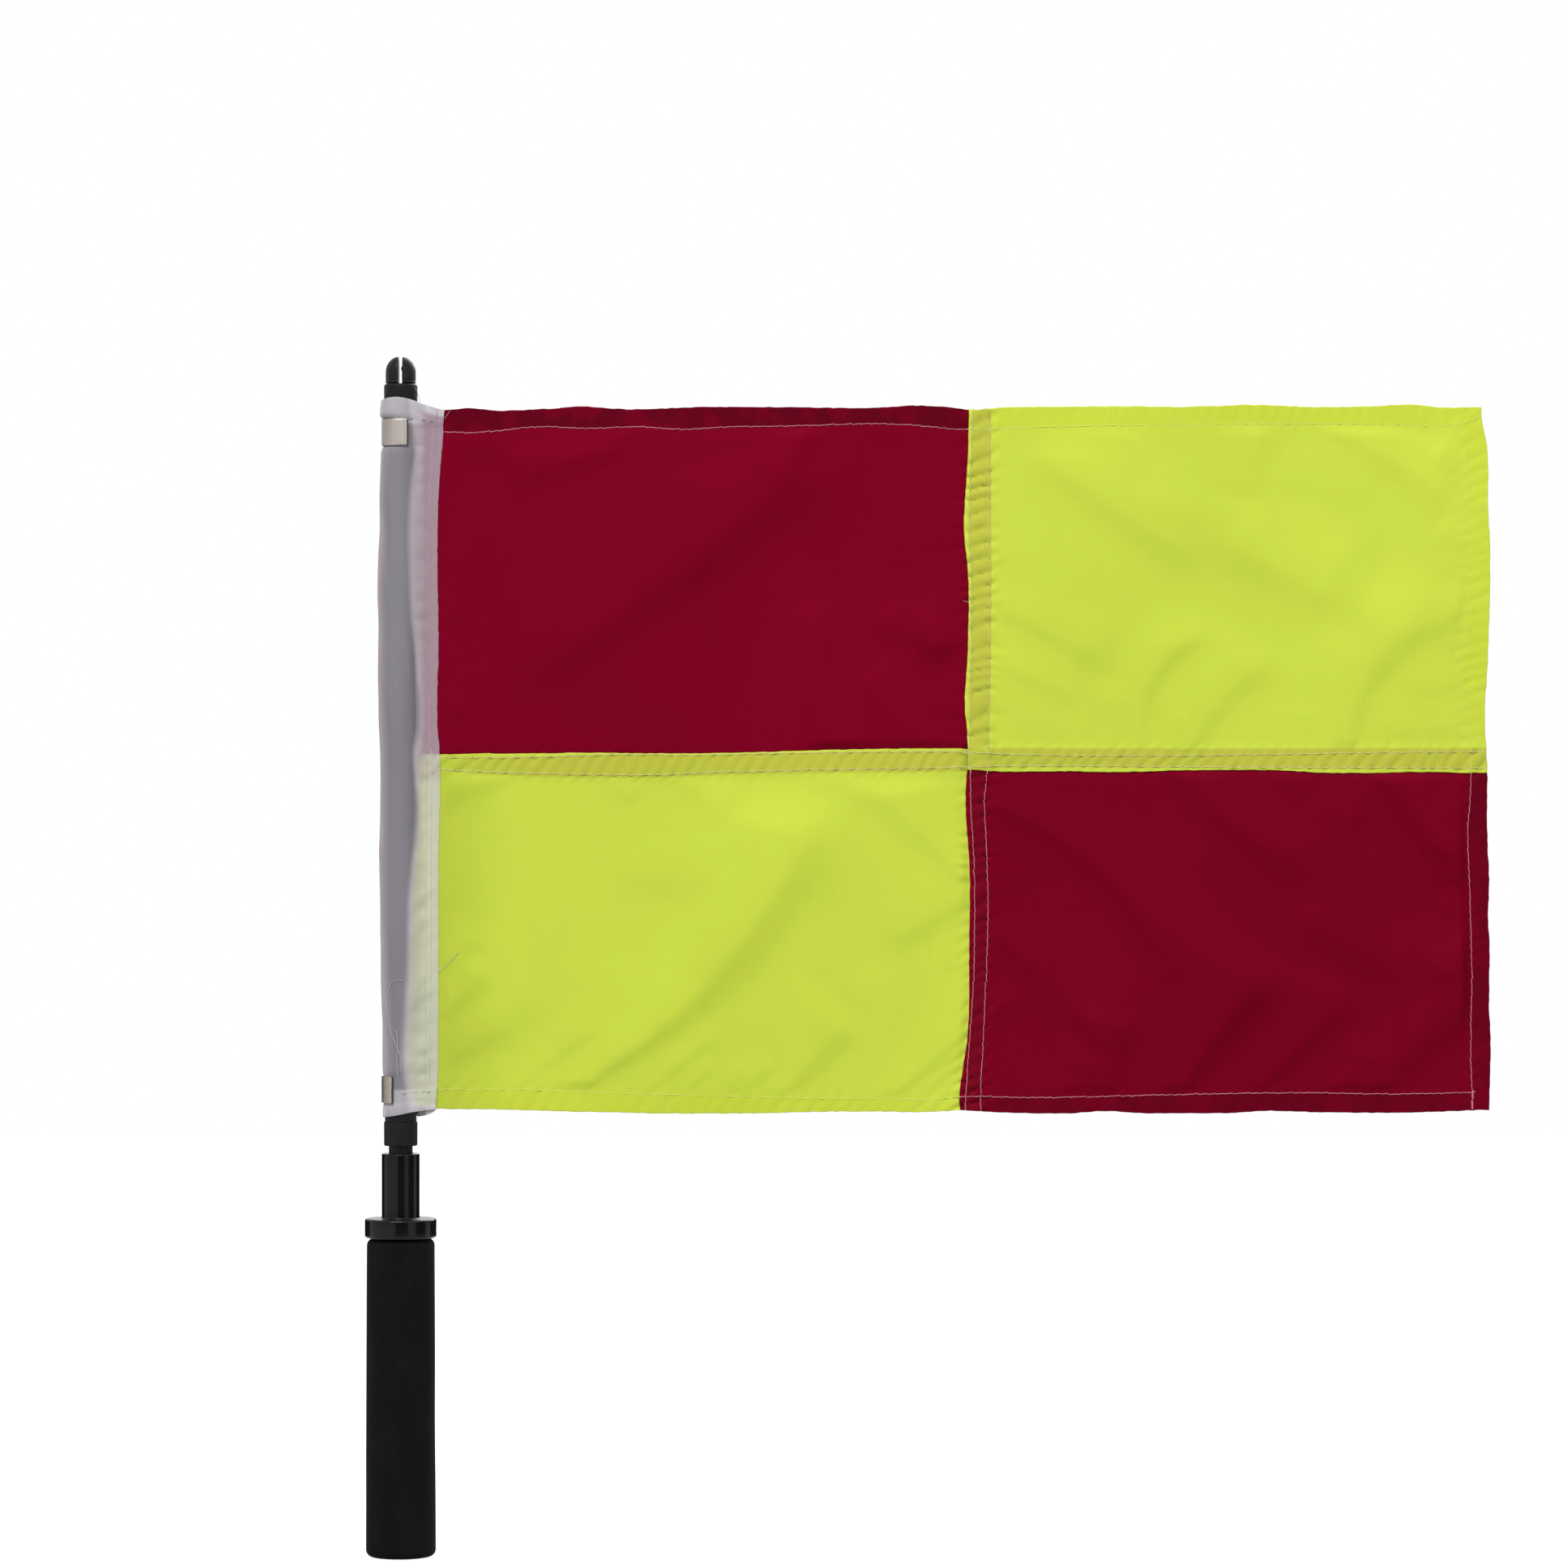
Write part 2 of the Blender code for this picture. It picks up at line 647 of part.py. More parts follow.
def build_thread(name, route, look):
    """One row of stitches as a thin tube."""
    curve = bpy.data.curves.new(name, "CURVE")
    curve.dimensions = "3D"
    curve.bevel_depth = THREAD_RADIUS
    curve.bevel_resolution = 0
    curve.use_fill_caps = True
    spline = curve.splines.new("POLY")
    spline.points.add(len(route) - 1)
    for point, place in zip(spline.points, route):
        point.co = (*place, 1.0)
    curve.materials.append(look)
    parts.objects.link(bpy.data.objects.new(name, curve))


def level_thread(z, start, end):
    """A level row of stitches on the cloth's front."""
    columns = spaced(start, end, [], THREAD_STEP)
    return [(x, foremost_face(x, z) - SEAT_GAP - THREAD_RADIUS, z) for x in columns]


def upright_thread(x, start, end, crossings):
    """An upright row of stitches on the cloth's front. It steps over the rows that it crosses."""
    marks = []
    for z in crossings:
        marks += [z - 2 * CROSSING_REACH, z - CROSSING_REACH, z + CROSSING_REACH, z + 2 * CROSSING_REACH]
    route = []
    for z in spaced(start, end, marks, THREAD_STEP):
        crosses = any(abs(z - crossing) < 1.5 * CROSSING_REACH for crossing in crossings)
        lift = 2 * THREAD_RADIUS + SEAT_GAP if crosses else 0.0
        route.append((x, foremost_face(x, z) - SEAT_GAP - THREAD_RADIUS - lift, z))
    return route


def build_cloth_stitching():
    """The hems and the two seams of the cloth."""
    apart = 4 * THREAD_RADIUS
    start = sleeve_edge + apart
    top_row = cloth_top - HEM_DEPTH + STITCH_INSET
    bottom_row = cloth_bottom + HEM_DEPTH - STITCH_INSET
    fly_row = fly_edge - FLY_HEM_DEPTH + STITCH_INSET
    level_rows = {"lower": level_lap_bottom + STITCH_INSET, "upper": level_lap_top - STITCH_INSET}
    upright_rows = {"left": upright_lap_left + STITCH_INSET, "right": upright_lap_right - STITCH_INSET}
    end = fly_edge - STITCH_INSET
    build_thread("top_hem_stitching", level_thread(top_row, start, end), white_thread)
    build_thread("bottom_hem_stitching", level_thread(bottom_row, start, end), yellow_side_thread)
    low, high = bottom_row + apart, top_row - apart
    build_thread("fly_hem_stitching", upright_thread(fly_row, low, high, []), red_side_thread)
    for side, z in level_rows.items():
        route = level_thread(z, start, fly_row - apart)
        build_thread("level_seam_stitching_" + side, route, yellow_side_thread)
    for side, x in upright_rows.items():
        route = upright_thread(x, low, high, level_rows.values())
        build_thread("upright_seam_stitching_" + side, route, red_side_thread)


def build_sleeve_stitching():
    """The row that sews the sleeve to the cloth, and the hems at the sleeve's ends."""
    y = -sleeve_tail_y - SLEEVE_WALL / 2 - SEAT_GAP - THREAD_RADIUS
    x = (hoist_edge + sleeve_edge) / 2 + STITCH_INSET
    apart = 4 * THREAD_RADIUS
    low = sleeve_bottom + SLEEVE_HEM_DEPTH
    high = sleeve_top - SLEEVE_HEM_DEPTH
    count = math.ceil((sleeve_top - sleeve_bottom) / (3 * THREAD_STEP))
    first, last = low + apart, high - apart
    seam = [(x, y, first + (last - first) * i / count) for i in range(count + 1)]
    build_thread("sleeve_seam_stitching", seam, white_thread)
    hem_start = sleeve_snug + SLEEVE_EASE + HOIST_EDGE_GAP
    hem_end = sleeve_edge - STITCH_INSET
    for name, z in (("sleeve_bottom_hem_stitching", low), ("sleeve_top_hem_stitching", high)):
        row = [(hem_start + (hem_end - hem_start) * i / 3, y, z) for i in range(4)]
        build_thread(name, row, white_thread)


build_foam_grip()
build_handle_core()
build_end_plug()
build_spindle()
build_swivel_tube()
build_bush("lower_bush", lower_bush_face, 1)
build_bush("upper_bush", upper_bush_face, -1)
build_sleeve()
build_clip("upper_clip", upper_clip_bottom, UPPER_CLIP_TURN)
build_clip("lower_clip", lower_clip_bottom, LOWER_CLIP_TURN)
for panel_name in PANELS:
    build_panel(panel_name)
build_cloth_stitching()
build_sleeve_stitching()
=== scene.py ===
# %% [markdown]
# # Dressing a linesman's flag
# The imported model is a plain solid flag: foam grip, handle, spindle, a tube that swivels on
# it, and four panels of cloth in a white sleeve. This lesson builds a finer piece over every
# solid, with folded hems, puckered seams, single stitches and woven finishes. Sizes are read
# from the solids' boxes where they can be, so that the pieces fit when the model changes.

# %% Load the frame
import json
import math

import bmesh
import bpy
import numpy as np
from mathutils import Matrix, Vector

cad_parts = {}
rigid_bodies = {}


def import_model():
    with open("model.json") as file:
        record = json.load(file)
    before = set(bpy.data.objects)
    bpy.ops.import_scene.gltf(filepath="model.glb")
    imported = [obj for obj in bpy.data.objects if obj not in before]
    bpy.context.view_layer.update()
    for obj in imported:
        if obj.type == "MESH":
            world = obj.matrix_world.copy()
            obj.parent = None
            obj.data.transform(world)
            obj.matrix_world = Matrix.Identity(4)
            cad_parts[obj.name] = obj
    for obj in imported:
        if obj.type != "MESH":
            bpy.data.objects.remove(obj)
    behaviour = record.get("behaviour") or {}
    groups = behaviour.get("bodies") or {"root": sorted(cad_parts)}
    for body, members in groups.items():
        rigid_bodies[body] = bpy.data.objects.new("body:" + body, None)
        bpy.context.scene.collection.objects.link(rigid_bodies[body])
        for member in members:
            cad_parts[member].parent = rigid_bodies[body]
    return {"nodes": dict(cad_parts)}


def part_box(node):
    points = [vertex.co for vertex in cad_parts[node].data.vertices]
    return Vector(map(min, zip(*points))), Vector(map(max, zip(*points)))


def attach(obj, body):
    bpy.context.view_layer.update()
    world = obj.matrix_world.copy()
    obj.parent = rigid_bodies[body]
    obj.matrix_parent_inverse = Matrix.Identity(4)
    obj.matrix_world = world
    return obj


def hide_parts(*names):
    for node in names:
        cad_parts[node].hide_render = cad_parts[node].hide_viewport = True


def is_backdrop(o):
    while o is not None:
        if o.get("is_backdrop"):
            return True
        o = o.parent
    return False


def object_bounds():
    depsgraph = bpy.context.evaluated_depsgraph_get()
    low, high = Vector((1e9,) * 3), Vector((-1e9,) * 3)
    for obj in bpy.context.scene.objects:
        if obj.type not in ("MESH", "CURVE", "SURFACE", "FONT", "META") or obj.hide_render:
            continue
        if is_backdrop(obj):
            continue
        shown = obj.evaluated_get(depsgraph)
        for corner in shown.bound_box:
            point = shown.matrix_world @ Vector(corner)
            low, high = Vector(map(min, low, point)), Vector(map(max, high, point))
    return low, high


for leftover in list(bpy.data.objects):
    bpy.data.objects.remove(leftover, do_unlink=True)

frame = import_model()
cad_bounds = [list(corner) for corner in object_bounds()]
MM = 0.001


def add_object(name, data):
    """A new object in the scene, at the origin."""
    made = bpy.data.objects.new(name, data)
    bpy.context.scene.collection.objects.link(made)
    return made


print("nodes in the frame:", len(frame["nodes"]))

# %% [markdown]
# ## Camera
# The photograph was taken from straight in front and far away, so a long lens stands two and
# a half metres from the cloth. The picture's scale gives the width of the view.

# %% Camera
PICTURE_PIXELS = 1932
PIXEL_SIZE = 0.3475 * MM
CAMERA_DISTANCE = 2.5
CAMERA_X = 0.1641
CAMERA_Z = 0.3305
SENSOR_WIDTH = 36.0

view_width = PICTURE_PIXELS * PIXEL_SIZE
lens = bpy.data.cameras.new("camera")
lens.sensor_width = SENSOR_WIDTH
lens.lens = SENSOR_WIDTH * CAMERA_DISTANCE / view_width
camera = add_object("camera", lens)
camera.location = (CAMERA_X, -CAMERA_DISTANCE, CAMERA_Z)
camera.rotation_euler = (math.radians(90), 0.0, 0.0)
bpy.context.scene.camera = camera
bpy.context.scene.view_settings.view_transform = "Standard"
print("lens in mm:", round(lens.lens, 1))

# %% [markdown]
# ## Writing shaders as sums
# A finish is easier to read as a sum than as a list of nodes and links. One small class wraps
# a socket, and adding two of them adds a Math node. One method makes any other node. The same
# classes build the Geometry Nodes tree.

# %% A socket that takes part in arithmetic
class Value:
    """A node's output. Each operator adds one Math node to its tree."""

    def __init__(self, tree, socket):
        self.tree = tree
        self.socket = socket

    def math(self, operation, *values):
        return self.tree.node("ShaderNodeMath", {"operation": operation}, list(values))

    def __add__(self, other):
        return self.math("ADD", self, other)

    def __radd__(self, other):
        return self.math("ADD", other, self)

    def __sub__(self, other):
        return self.math("SUBTRACT", self, other)

    def __rsub__(self, other):
        return self.math("SUBTRACT", other, self)

    def __mul__(self, other):
        return self.math("MULTIPLY", self, other)

    def sine(self):
        return self.math("SINE", self)

    def step(self, start, end):
        """0 at start, 1 at end, with a soft change between them."""
        sockets = {"Value": self, "From Min": start, "From Max": end}
        return self.tree.node("ShaderNodeMapRange", {"interpolation_type": "SMOOTHSTEP"}, sockets)


# %% A tree of nodes
class Tree:
    """A node tree with one method that makes any node."""

    def __init__(self, tree):
        self.tree = tree

    def put(self, socket, value):
        if isinstance(value, Value):
            self.tree.links.new(value.socket, socket)
        elif socket.type == "RGBA":
            socket.default_value = (*value, 1.0)
        else:
            socket.default_value = value

    def node(self, kind, settings=None, inputs=None, output=None):
        made = self.tree.nodes.new(kind)
        for name, value in (settings or {}).items():
            setattr(made, name, value)
        pairs = inputs.items() if isinstance(inputs, dict) else enumerate(inputs or [])
        for key, value in pairs:
            if isinstance(key, int):
                socket = made.inputs[key]
            else:
                socket = next(s for s in made.inputs if s.enabled and s.name == key)
            self.put(socket, value)
        shown = [s for s in made.outputs if s.enabled]
        if not shown:
            return None
        if output is None:
            return Value(self, shown[0])
        return Value(self, next(s for s in shown if s.name == output))

    def scaled(self, vector, scale):
        sockets = {"Vector": vector, "Scale": scale}
        return self.node("ShaderNodeVectorMath", {"operation": "SCALE"}, sockets)

    def parts(self, vector):
        """The three numbers of a vector."""
        split = self.tree.nodes.new("ShaderNodeSeparateXYZ")
        self.tree.links.new(vector.socket, split.inputs[0])
        return [Value(self, out) for out in split.outputs]


# %% A finish
class Finish(Tree):
    """A Principled material. Sockets that vary are given as links, the others as numbers."""

    def __init__(self, name):
        self.material = bpy.data.materials.new(name)
        self.material.use_nodes = True
        super().__init__(self.material.node_tree)
        self.shader = self.tree.nodes["Principled BSDF"]

    def set(self, sockets):
        for name, value in sockets.items():
            self.put(self.shader.inputs[name], value)

    def mix(self, share, first, second):
        sockets = {"Factor": share, "A": first, "B": second}
        return self.node("ShaderNodeMix", {"data_type": "RGBA"}, sockets)

    def place(self):
        """The object coordinates in metres, as a vector and as three numbers."""
        point = self.node("ShaderNodeTexCoord", output="Object")
        return point, self.parts(point)

    def stretched(self, point, scale):
        return self.node("ShaderNodeMapping", None, {"Vector": point, "Scale": scale})

    def noise(self, point, scale, detail=3.0, roughness=0.5):
        sockets = {"Vector": point, "Scale": scale, "Detail": detail, "Roughness": roughness}
        return self.node("ShaderNodeTexNoise", None, sockets)

    def bubbles(self, point, scale):
        """Distance to the nearest of many scattered points."""
        sockets = {"Vector": point, "Scale": scale}
        return self.node("ShaderNodeTexVoronoi", {"feature": "F1"}, sockets, "Distance")

    def bump(self, height, distance, strength):
        sockets = {"Height": height, "Distance": distance, "Strength": strength}
        return self.node("ShaderNodeBump", None, sockets)


# %% [markdown]
# ## Studio
# The ground is plain white. Through the Light Path node, floor and world show white only to
# the camera, to gloss and to glass, while the lamps light the flag at a plain level. A little
# diffuse white in the floor's glow lets it take a soft shadow.

# %% World and floor
WORLD_LEVEL = 0.24
FLOOR_GLOW = 0.92
FLOOR_DIFFUSE = 0.30
FLOOR_BOUNCE = 0.45
FLOOR_HALF = 3.0
FLOOR_DROP = 0.4 * MM
WHITE = (1.0, 1.0, 1.0)


def seen_directly(tree):
    """1 for rays from the camera, from gloss and through glass."""
    path = tree.tree.nodes.new("ShaderNodeLightPath")
    names = ("Is Camera Ray", "Is Glossy Ray", "Is Transmission Ray")
    camera_ray, gloss_ray, glass_ray = [Value(tree, path.outputs[name]) for name in names]
    total = camera_ray + gloss_ray + glass_ray
    return total.math("MINIMUM", total, 1.0)


world = bpy.data.worlds.new("studio")
world.use_nodes = True
bpy.context.scene.world = world
sky = Tree(world.node_tree)
ambient = sky.node("ShaderNodeBackground", None, {"Color": WHITE, "Strength": WORLD_LEVEL})
white = sky.node("ShaderNodeBackground", None, {"Color": WHITE, "Strength": 1.0})
either = sky.node("ShaderNodeMixShader", None, [seen_directly(sky), ambient, white])
sky.put(sky.tree.nodes["World Output"].inputs["Surface"], either)

floor_look = Finish("studio_floor")
glow = floor_look.node("ShaderNodeEmission", None, {"Color": WHITE, "Strength": FLOOR_GLOW})
shadow_taker = floor_look.node("ShaderNodeBsdfDiffuse", None, {"Color": (FLOOR_DIFFUSE,) * 3})
shown_floor = floor_look.node("ShaderNodeAddShader", None, [glow, shadow_taker])
lit_floor = floor_look.node("ShaderNodeBsdfDiffuse", None, {"Color": (FLOOR_BOUNCE,) * 3})
directly = seen_directly(floor_look)
floor_shader = floor_look.node("ShaderNodeMixShader", None, [directly, lit_floor, shown_floor])
floor_look.put(floor_look.tree.nodes["Material Output"].inputs["Surface"], floor_shader)

floor_mesh = bpy.data.meshes.new("floor")
signs = [(-1, -1), (1, -1), (1, 1), (-1, 1)]
corners = [(a * FLOOR_HALF, b * FLOOR_HALF, -FLOOR_DROP) for a, b in signs]
floor_mesh.from_pydata(corners, [], [(0, 1, 2, 3)])
floor_mesh.materials.append(floor_look.material)
floor = add_object("floor", floor_mesh)
floor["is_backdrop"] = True
print("floor at mm:", -FLOOR_DROP / MM)

# %% Lamps
# Place, width in metres and power in watts
LAMPS = {
    "key": ((-0.55, -2.6, 3.5), 2.4, 168.0),
    "fill": ((1.6, -1.9, 1.3), 1.8, 8.0),
    "rim": ((0.9, 1.7, 1.7), 1.7, 44.0),
}
LAMP_TARGET = (0.2, 0.0, 0.32)

for name, (place, width, power) in LAMPS.items():
    light = bpy.data.lights.new(name, "AREA")
    light.shape = "SQUARE"
    light.size = width
    light.energy = power
    holder = add_object(name, light)
    holder.location = place
    aim = Vector([target - own for target, own in zip(LAMP_TARGET, place)])
    holder.rotation_euler = aim.to_track_quat("-Z", "Y").to_euler()
print("lamps:", len(LAMPS))

# %% [markdown]
# Glossy black shows its surroundings, and would look grey in an all-white room. So dark
# screens stand round the set, which draw the dark upright bands on the handle's stem. They
# are seen by gloss alone.

# %% Dark screens
SCREEN_DISTANCE = 1.0
SCREEN_HEIGHT = 0.36
SCREEN_GREY = 0.02
# Each screen's two ends, in degrees from the camera's side towards the cloth
DARK_SPANS = [(-14, 27), (52, 90), (112, 168), (-168, -112)]
SCREEN_PANELS = 4

screen_look = Finish("dark_screen")
screen_look.set({"Base Color": (SCREEN_GREY,) * 3, "Roughness": 1.0, "Specular IOR Level": 0.0})
screen_points, screen_faces = [], []
for start, end in DARK_SPANS:
    first = len(screen_points)
    for i in range(SCREEN_PANELS + 1):
        turn = math.radians(start + (end - start) * i / SCREEN_PANELS)
        foot = (SCREEN_DISTANCE * math.sin(turn), -SCREEN_DISTANCE * math.cos(turn))
        screen_points += [(*foot, 0.0), (*foot, SCREEN_HEIGHT)]
    for i in range(SCREEN_PANELS):
        a = first + 2 * i
        screen_faces.append((a, a + 2, a + 3, a + 1))
screen_mesh = bpy.data.meshes.new("dark_screens")
screen_mesh.from_pydata(screen_points, [], screen_faces)
screen_mesh.materials.append(screen_look.material)
screens = add_object("dark_screens", screen_mesh)
screens.visible_camera = False
screens.visible_diffuse = False
screens.visible_transmission = False
screens.visible_shadow = False
screens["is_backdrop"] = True
print("dark screens:", len(DARK_SPANS))

# %% [markdown]
# ## Sizes from the solids
# Every size that a solid already has is read from its box: the seams from where the panels
# overlap, the rows of stitches from the thin tubes that stand for them.

# %% Sizes of the cloth
hoist_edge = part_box("red_panel_upper")[0].x
upright_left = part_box("yellow_panel_upper")[0].x
upright_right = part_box("red_panel_upper")[1].x
fly_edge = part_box("yellow_panel_upper")[1].x
cloth_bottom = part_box("yellow_panel_lower")[0].z
level_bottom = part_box("yellow_panel_upper")[0].z
level_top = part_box("yellow_panel_lower")[1].z
cloth_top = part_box("yellow_panel_upper")[1].z


def middle(node, axis):
    low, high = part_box(node)
    return (low[axis] + high[axis]) / 2


top_row = middle("top_hem_stitching", 2)
bottom_row = middle("bottom_hem_stitching", 2)
level_row_low = middle("level_seam_stitching_lower", 2)
level_row_high = middle("level_seam_stitching_upper", 2)
upright_row_left = middle("upright_seam_stitching_left", 0)
upright_row_right = middle("upright_seam_stitching_right", 0)
fly_row = middle("fly_hem_stitching", 0)
sleeve_row = middle("sleeve_seam_stitching", 0)
sleeve_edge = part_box("hoist_sleeve")[1].x
sleeve_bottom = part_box("hoist_sleeve")[0].z
sleeve_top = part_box("hoist_sleeve")[1].z
sleeve_row_low = middle("sleeve_bottom_hem_stitching", 2)
sleeve_row_high = middle("sleeve_top_hem_stitching", 2)
tube_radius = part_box("swivel_tube")[1].x
cloth_size = (fly_edge - hoist_edge, cloth_top - cloth_bottom)
print("cloth in mm:", [round(size / MM, 1) for size in cloth_size])

# %% [markdown]
# ## Soft numbers
# Three helpers make the cloth uneven: a soft step, a curve through measured places, and a
# noise that is the same on every run, because its random table has a fixed seed.

# %% Soft steps, curves and noise
def rise(value, start, end):
    """0 at start, 1 at end and straight between, also where end is the smaller."""
    return np.clip((value - start) / (end - start), 0.0, 1.0)


def smooth(value):
    return value * value * (3 - 2 * value)


def through(knots, value):
    """A smooth curve through (place, height) knots, both in millimetres."""
    places = np.array([k[0] for k in knots]) * MM
    heights = np.array([k[1] for k in knots]) * MM
    slopes = np.gradient(heights, places)
    value = np.clip(value, places[0], places[-1])
    left = np.clip(np.searchsorted(places, value, side="right") - 1, 0, len(places) - 2)
    span = places[left + 1] - places[left]
    t = (value - places[left]) / span
    start = (2 * t**3 - 3 * t**2 + 1) * heights[left] + (t**3 - 2 * t**2 + t) * span * slopes[left]
    end = (3 * t**2 - 2 * t**3) * heights[left + 1] + (t**3 - t**2) * span * slopes[left + 1]
    return start + end


NOISE_CELLS = 128


def noise(seed, u, v=0.0):
    """Soft noise from -1 to 1 that changes over about one unit."""
    table = np.random.default_rng(seed).uniform(-1.0, 1.0, (NOISE_CELLS, NOISE_CELLS))
    u, v = np.broadcast_arrays(np.asarray(u, float), np.asarray(v, float))
    i, j = np.floor(u).astype(int), np.floor(v).astype(int)
    a, b = smooth(u - i), smooth(v - j)
    left, right = i % NOISE_CELLS, (i + 1) % NOISE_CELLS
    rows = j % NOISE_CELLS, (j + 1) % NOISE_CELLS
    low, high = (table[left, row] * (1 - a) + table[right, row] * a for row in rows)
    return low * (1 - b) + high * b


print("noise at the origin:", round(float(noise(1, 0.0)), 3))

# %% [markdown]
# ## How the cloth hangs
# The cloth's middle surface is a height over its flat pattern. Its long waves are those of
# the solids. The folds are laid one by one along lines read from the photograph: steep, and
# so dark, on the lower side and gentle on the upper. A fine crinkle covers the rest.

# %% Long waves
WIDE_WAVE = {"height": 2.4 * MM, "length": 0.300, "slant": 0.55, "start": 0.6}
NARROW_WAVE = {"height": 1.1 * MM, "length": 0.190, "slant": -0.8, "start": 2.1}
WAVE_FREE_AFTER = 0.110
PANEL_BOXES = {
    "red_panel_upper": (hoist_edge, upright_right, level_bottom, cloth_top),
    "yellow_panel_upper": (upright_left, fly_edge, level_bottom, cloth_top),
    "yellow_panel_lower": (hoist_edge, upright_right, cloth_bottom, level_top),
    "red_panel_lower": (upright_left, fly_edge, cloth_bottom, level_top),
}


def one_wave(along, height, wave):
    turn = (along + wave["slant"] * height) / wave["length"]
    return wave["height"] * np.sin(math.tau * turn + wave["start"])


def long_waves(x, z):
    along = x - sleeve_edge
    free = smooth(rise(along, 0.0, WAVE_FREE_AFTER))
    height = z - cloth_bottom
    return free * (one_wave(along, height, WIDE_WAVE) + one_wave(along, height, NARROW_WAVE))


print("height of the long waves in mm:", WIDE_WAVE["height"] / MM, NARROW_WAVE["height"] / MM)

# %% Folds
# Each fold in mm: start x and z, end x and z, how far its middle bends up, its width at both
# ends, and how steep its lower side is in percent
FOLDS = {
    "red_panel_upper": [
        (64, 377, 172, 455, 0, 7, 12, 9.5), (50, 460, 95, 474, 0, 6, 5, 9), (204, 397, 232, 385, 0, 4, 7, 9),
        (227, 384, 243, 392, 0, 6, 3, 8), (229, 404, 243, 407, 0, 4, 3, 5), (166, 400, 177, 350, 0, 8, 8, 5),
        (198, 374, 212, 351, 0, 6, 6, 4), (226, 361, 243, 358, 0, 4, 2.5, 5),
        (166, 460, 177, 480, 0, 6, 6, 5), (134, 477, 152, 476, 0, 2, 2, 6), (18, 356, 28, 364, 0, 2, 4, 5),
        (17, 401, 24, 407, 0, 2, 3, 6), (206, 412, 243, 432, 0, 2.5, 2.5, -2.5),
        (22, 440, 50, 466, 0, 8, 8, -3),
    ],
    "yellow_panel_upper": [
        (274, 467, 334, 424, 0, 6, 9, 10), (350, 430, 397, 404, 0, 9, 11, 11),
        (400, 398, 430, 386, 0, 6, 9, 5), (422, 385, 458, 403, 0, 10, 4, 9),
        (398, 482, 453, 446, 0, 4, 9, 9), (380, 458, 410, 448, 0, 6, 7, 4),
        (255, 406, 297, 382, 0, 3, 6.5, 9), (254, 381, 286, 367, 0, 2.5, 5.5, 7),
        (256, 428, 276, 427, 0, 3.5, 5, 4), (309, 345, 311, 370, 0, 2, 4, 4),
        (320, 345, 343, 392, 9, 2.2, 6, 7), (341, 345, 372, 379, 3, 2.5, 8, 9),
        (331, 345, 338, 358, 0, 1.6, 3, 3), (407, 345, 424, 384, 2, 3, 8, 8),
        (390, 345, 391, 362, 0, 1.6, 4, 2), (432, 367, 458, 372, 0, 6, 2.5, 6),
        (422, 350, 458, 354, 0, 6, 3, 5), (444, 471, 458, 461, 0, 6, 3, 4),
        (444, 437, 458, 428, 0, 5, 2.5, 5), (446, 423, 458, 420, 0, 3, 2, 4),
        (320, 448, 350, 438, 0, 8, 8, 3), (366, 456, 372, 479, 0, 5, 5, 4), (300, 478, 322, 470, 0, 6, 6, 3),
    ],
    "yellow_panel_lower": [
        (88, 206, 179, 306, -9.5, 3, 13, 13), (55, 201, 84, 224, 1, 1.3, 4, 5),
        (111, 201, 133, 220, 0, 1.2, 3.5, 7), (125, 200, 134, 209, 0, 1.2, 2.5, 5),
        (140, 200, 149, 208, 0, 1.2, 2.5, 5), (149, 200, 160, 210, 0, 1.5, 3, 6),
        (170, 201, 192, 226, 0, 2, 8, 8), (217, 201, 243, 223, 0, 1.8, 6, 11),
        (228, 201, 243, 213, 0, 1.3, 3, 7), (196, 331, 243, 286, 0, 8, 4, 10),
        (181, 331, 197, 322, 0, 5, 6, 4), (212, 262, 238, 277, 0, 6, 6, 8), (230, 253, 243, 252, 0, 5, 3, 6),
        (97, 291, 129, 286, 0, 8, 8, 5), (16, 225, 37, 247, 0, 3.5, 6, 9), (16, 208, 47, 222, 0, 2.5, 7, 7),
        (17, 246, 33, 262, 0, 3, 5, 6), (19, 322, 48, 336, 0, 5, 4, 9), (118, 332, 136, 318, 0, 3, 6, 5),
        (90, 331, 98, 324, 0, 3, 4, 4), (20, 216, 58, 232, 0, 10, 12, 5),
    ],
    "red_panel_lower": [
        (252, 321, 328, 249, 10.6, 2.5, 9, 11), (331, 336, 385, 290, -4, 3, 8, 10),
        (416, 336, 456, 287, -1, 4, 7, 11), (438, 301, 458, 298, 0, 5, 2, 7),
        (442, 291, 458, 287, 0, 5, 2, 7), (384, 268, 428, 244, 0, 9, 8, 8), (252, 265, 298, 221, 3, 3, 7, 8),
        (340, 201, 374, 243, 2, 3, 12, 12), (372, 200, 406, 234, 0, 2, 8, 11),
        (421, 199, 460, 233, 1, 4, 10, 12), (405, 200, 417, 213, 0, 2, 4.5, 8),
        (307, 202, 315, 228, 0, 4, 7, 7), (291, 200, 301, 210, 0, 3, 5, 6), (252, 223, 263, 240, 0, 3, 6, 6),
        (445, 245, 459, 255, 0, 5, 4, 10), (446, 276, 459, 272, 0, 4, 2, 5),
        (445, 318, 458, 313, 0, 5, 2.5, 5), (410, 291, 431, 280, 0, 6, 6, 4),
        (392, 319, 408, 311, 0, 6, 6, 5), (372, 334, 386, 325, 0, 4, 6, 5),
    ],
}
FOLD_GENTLE = 2.2
FOLD_TAPER = 0.18
FOLD_LEAD = 0.26
FOLD_SPREAD = 1.2
# Light shines into the folds from all round, so they lie deeper than their darkness says
RED_DEPTH, YELLOW_DEPTH = 1.9, 1.35
FOLD_FADE = 5.5 * MM
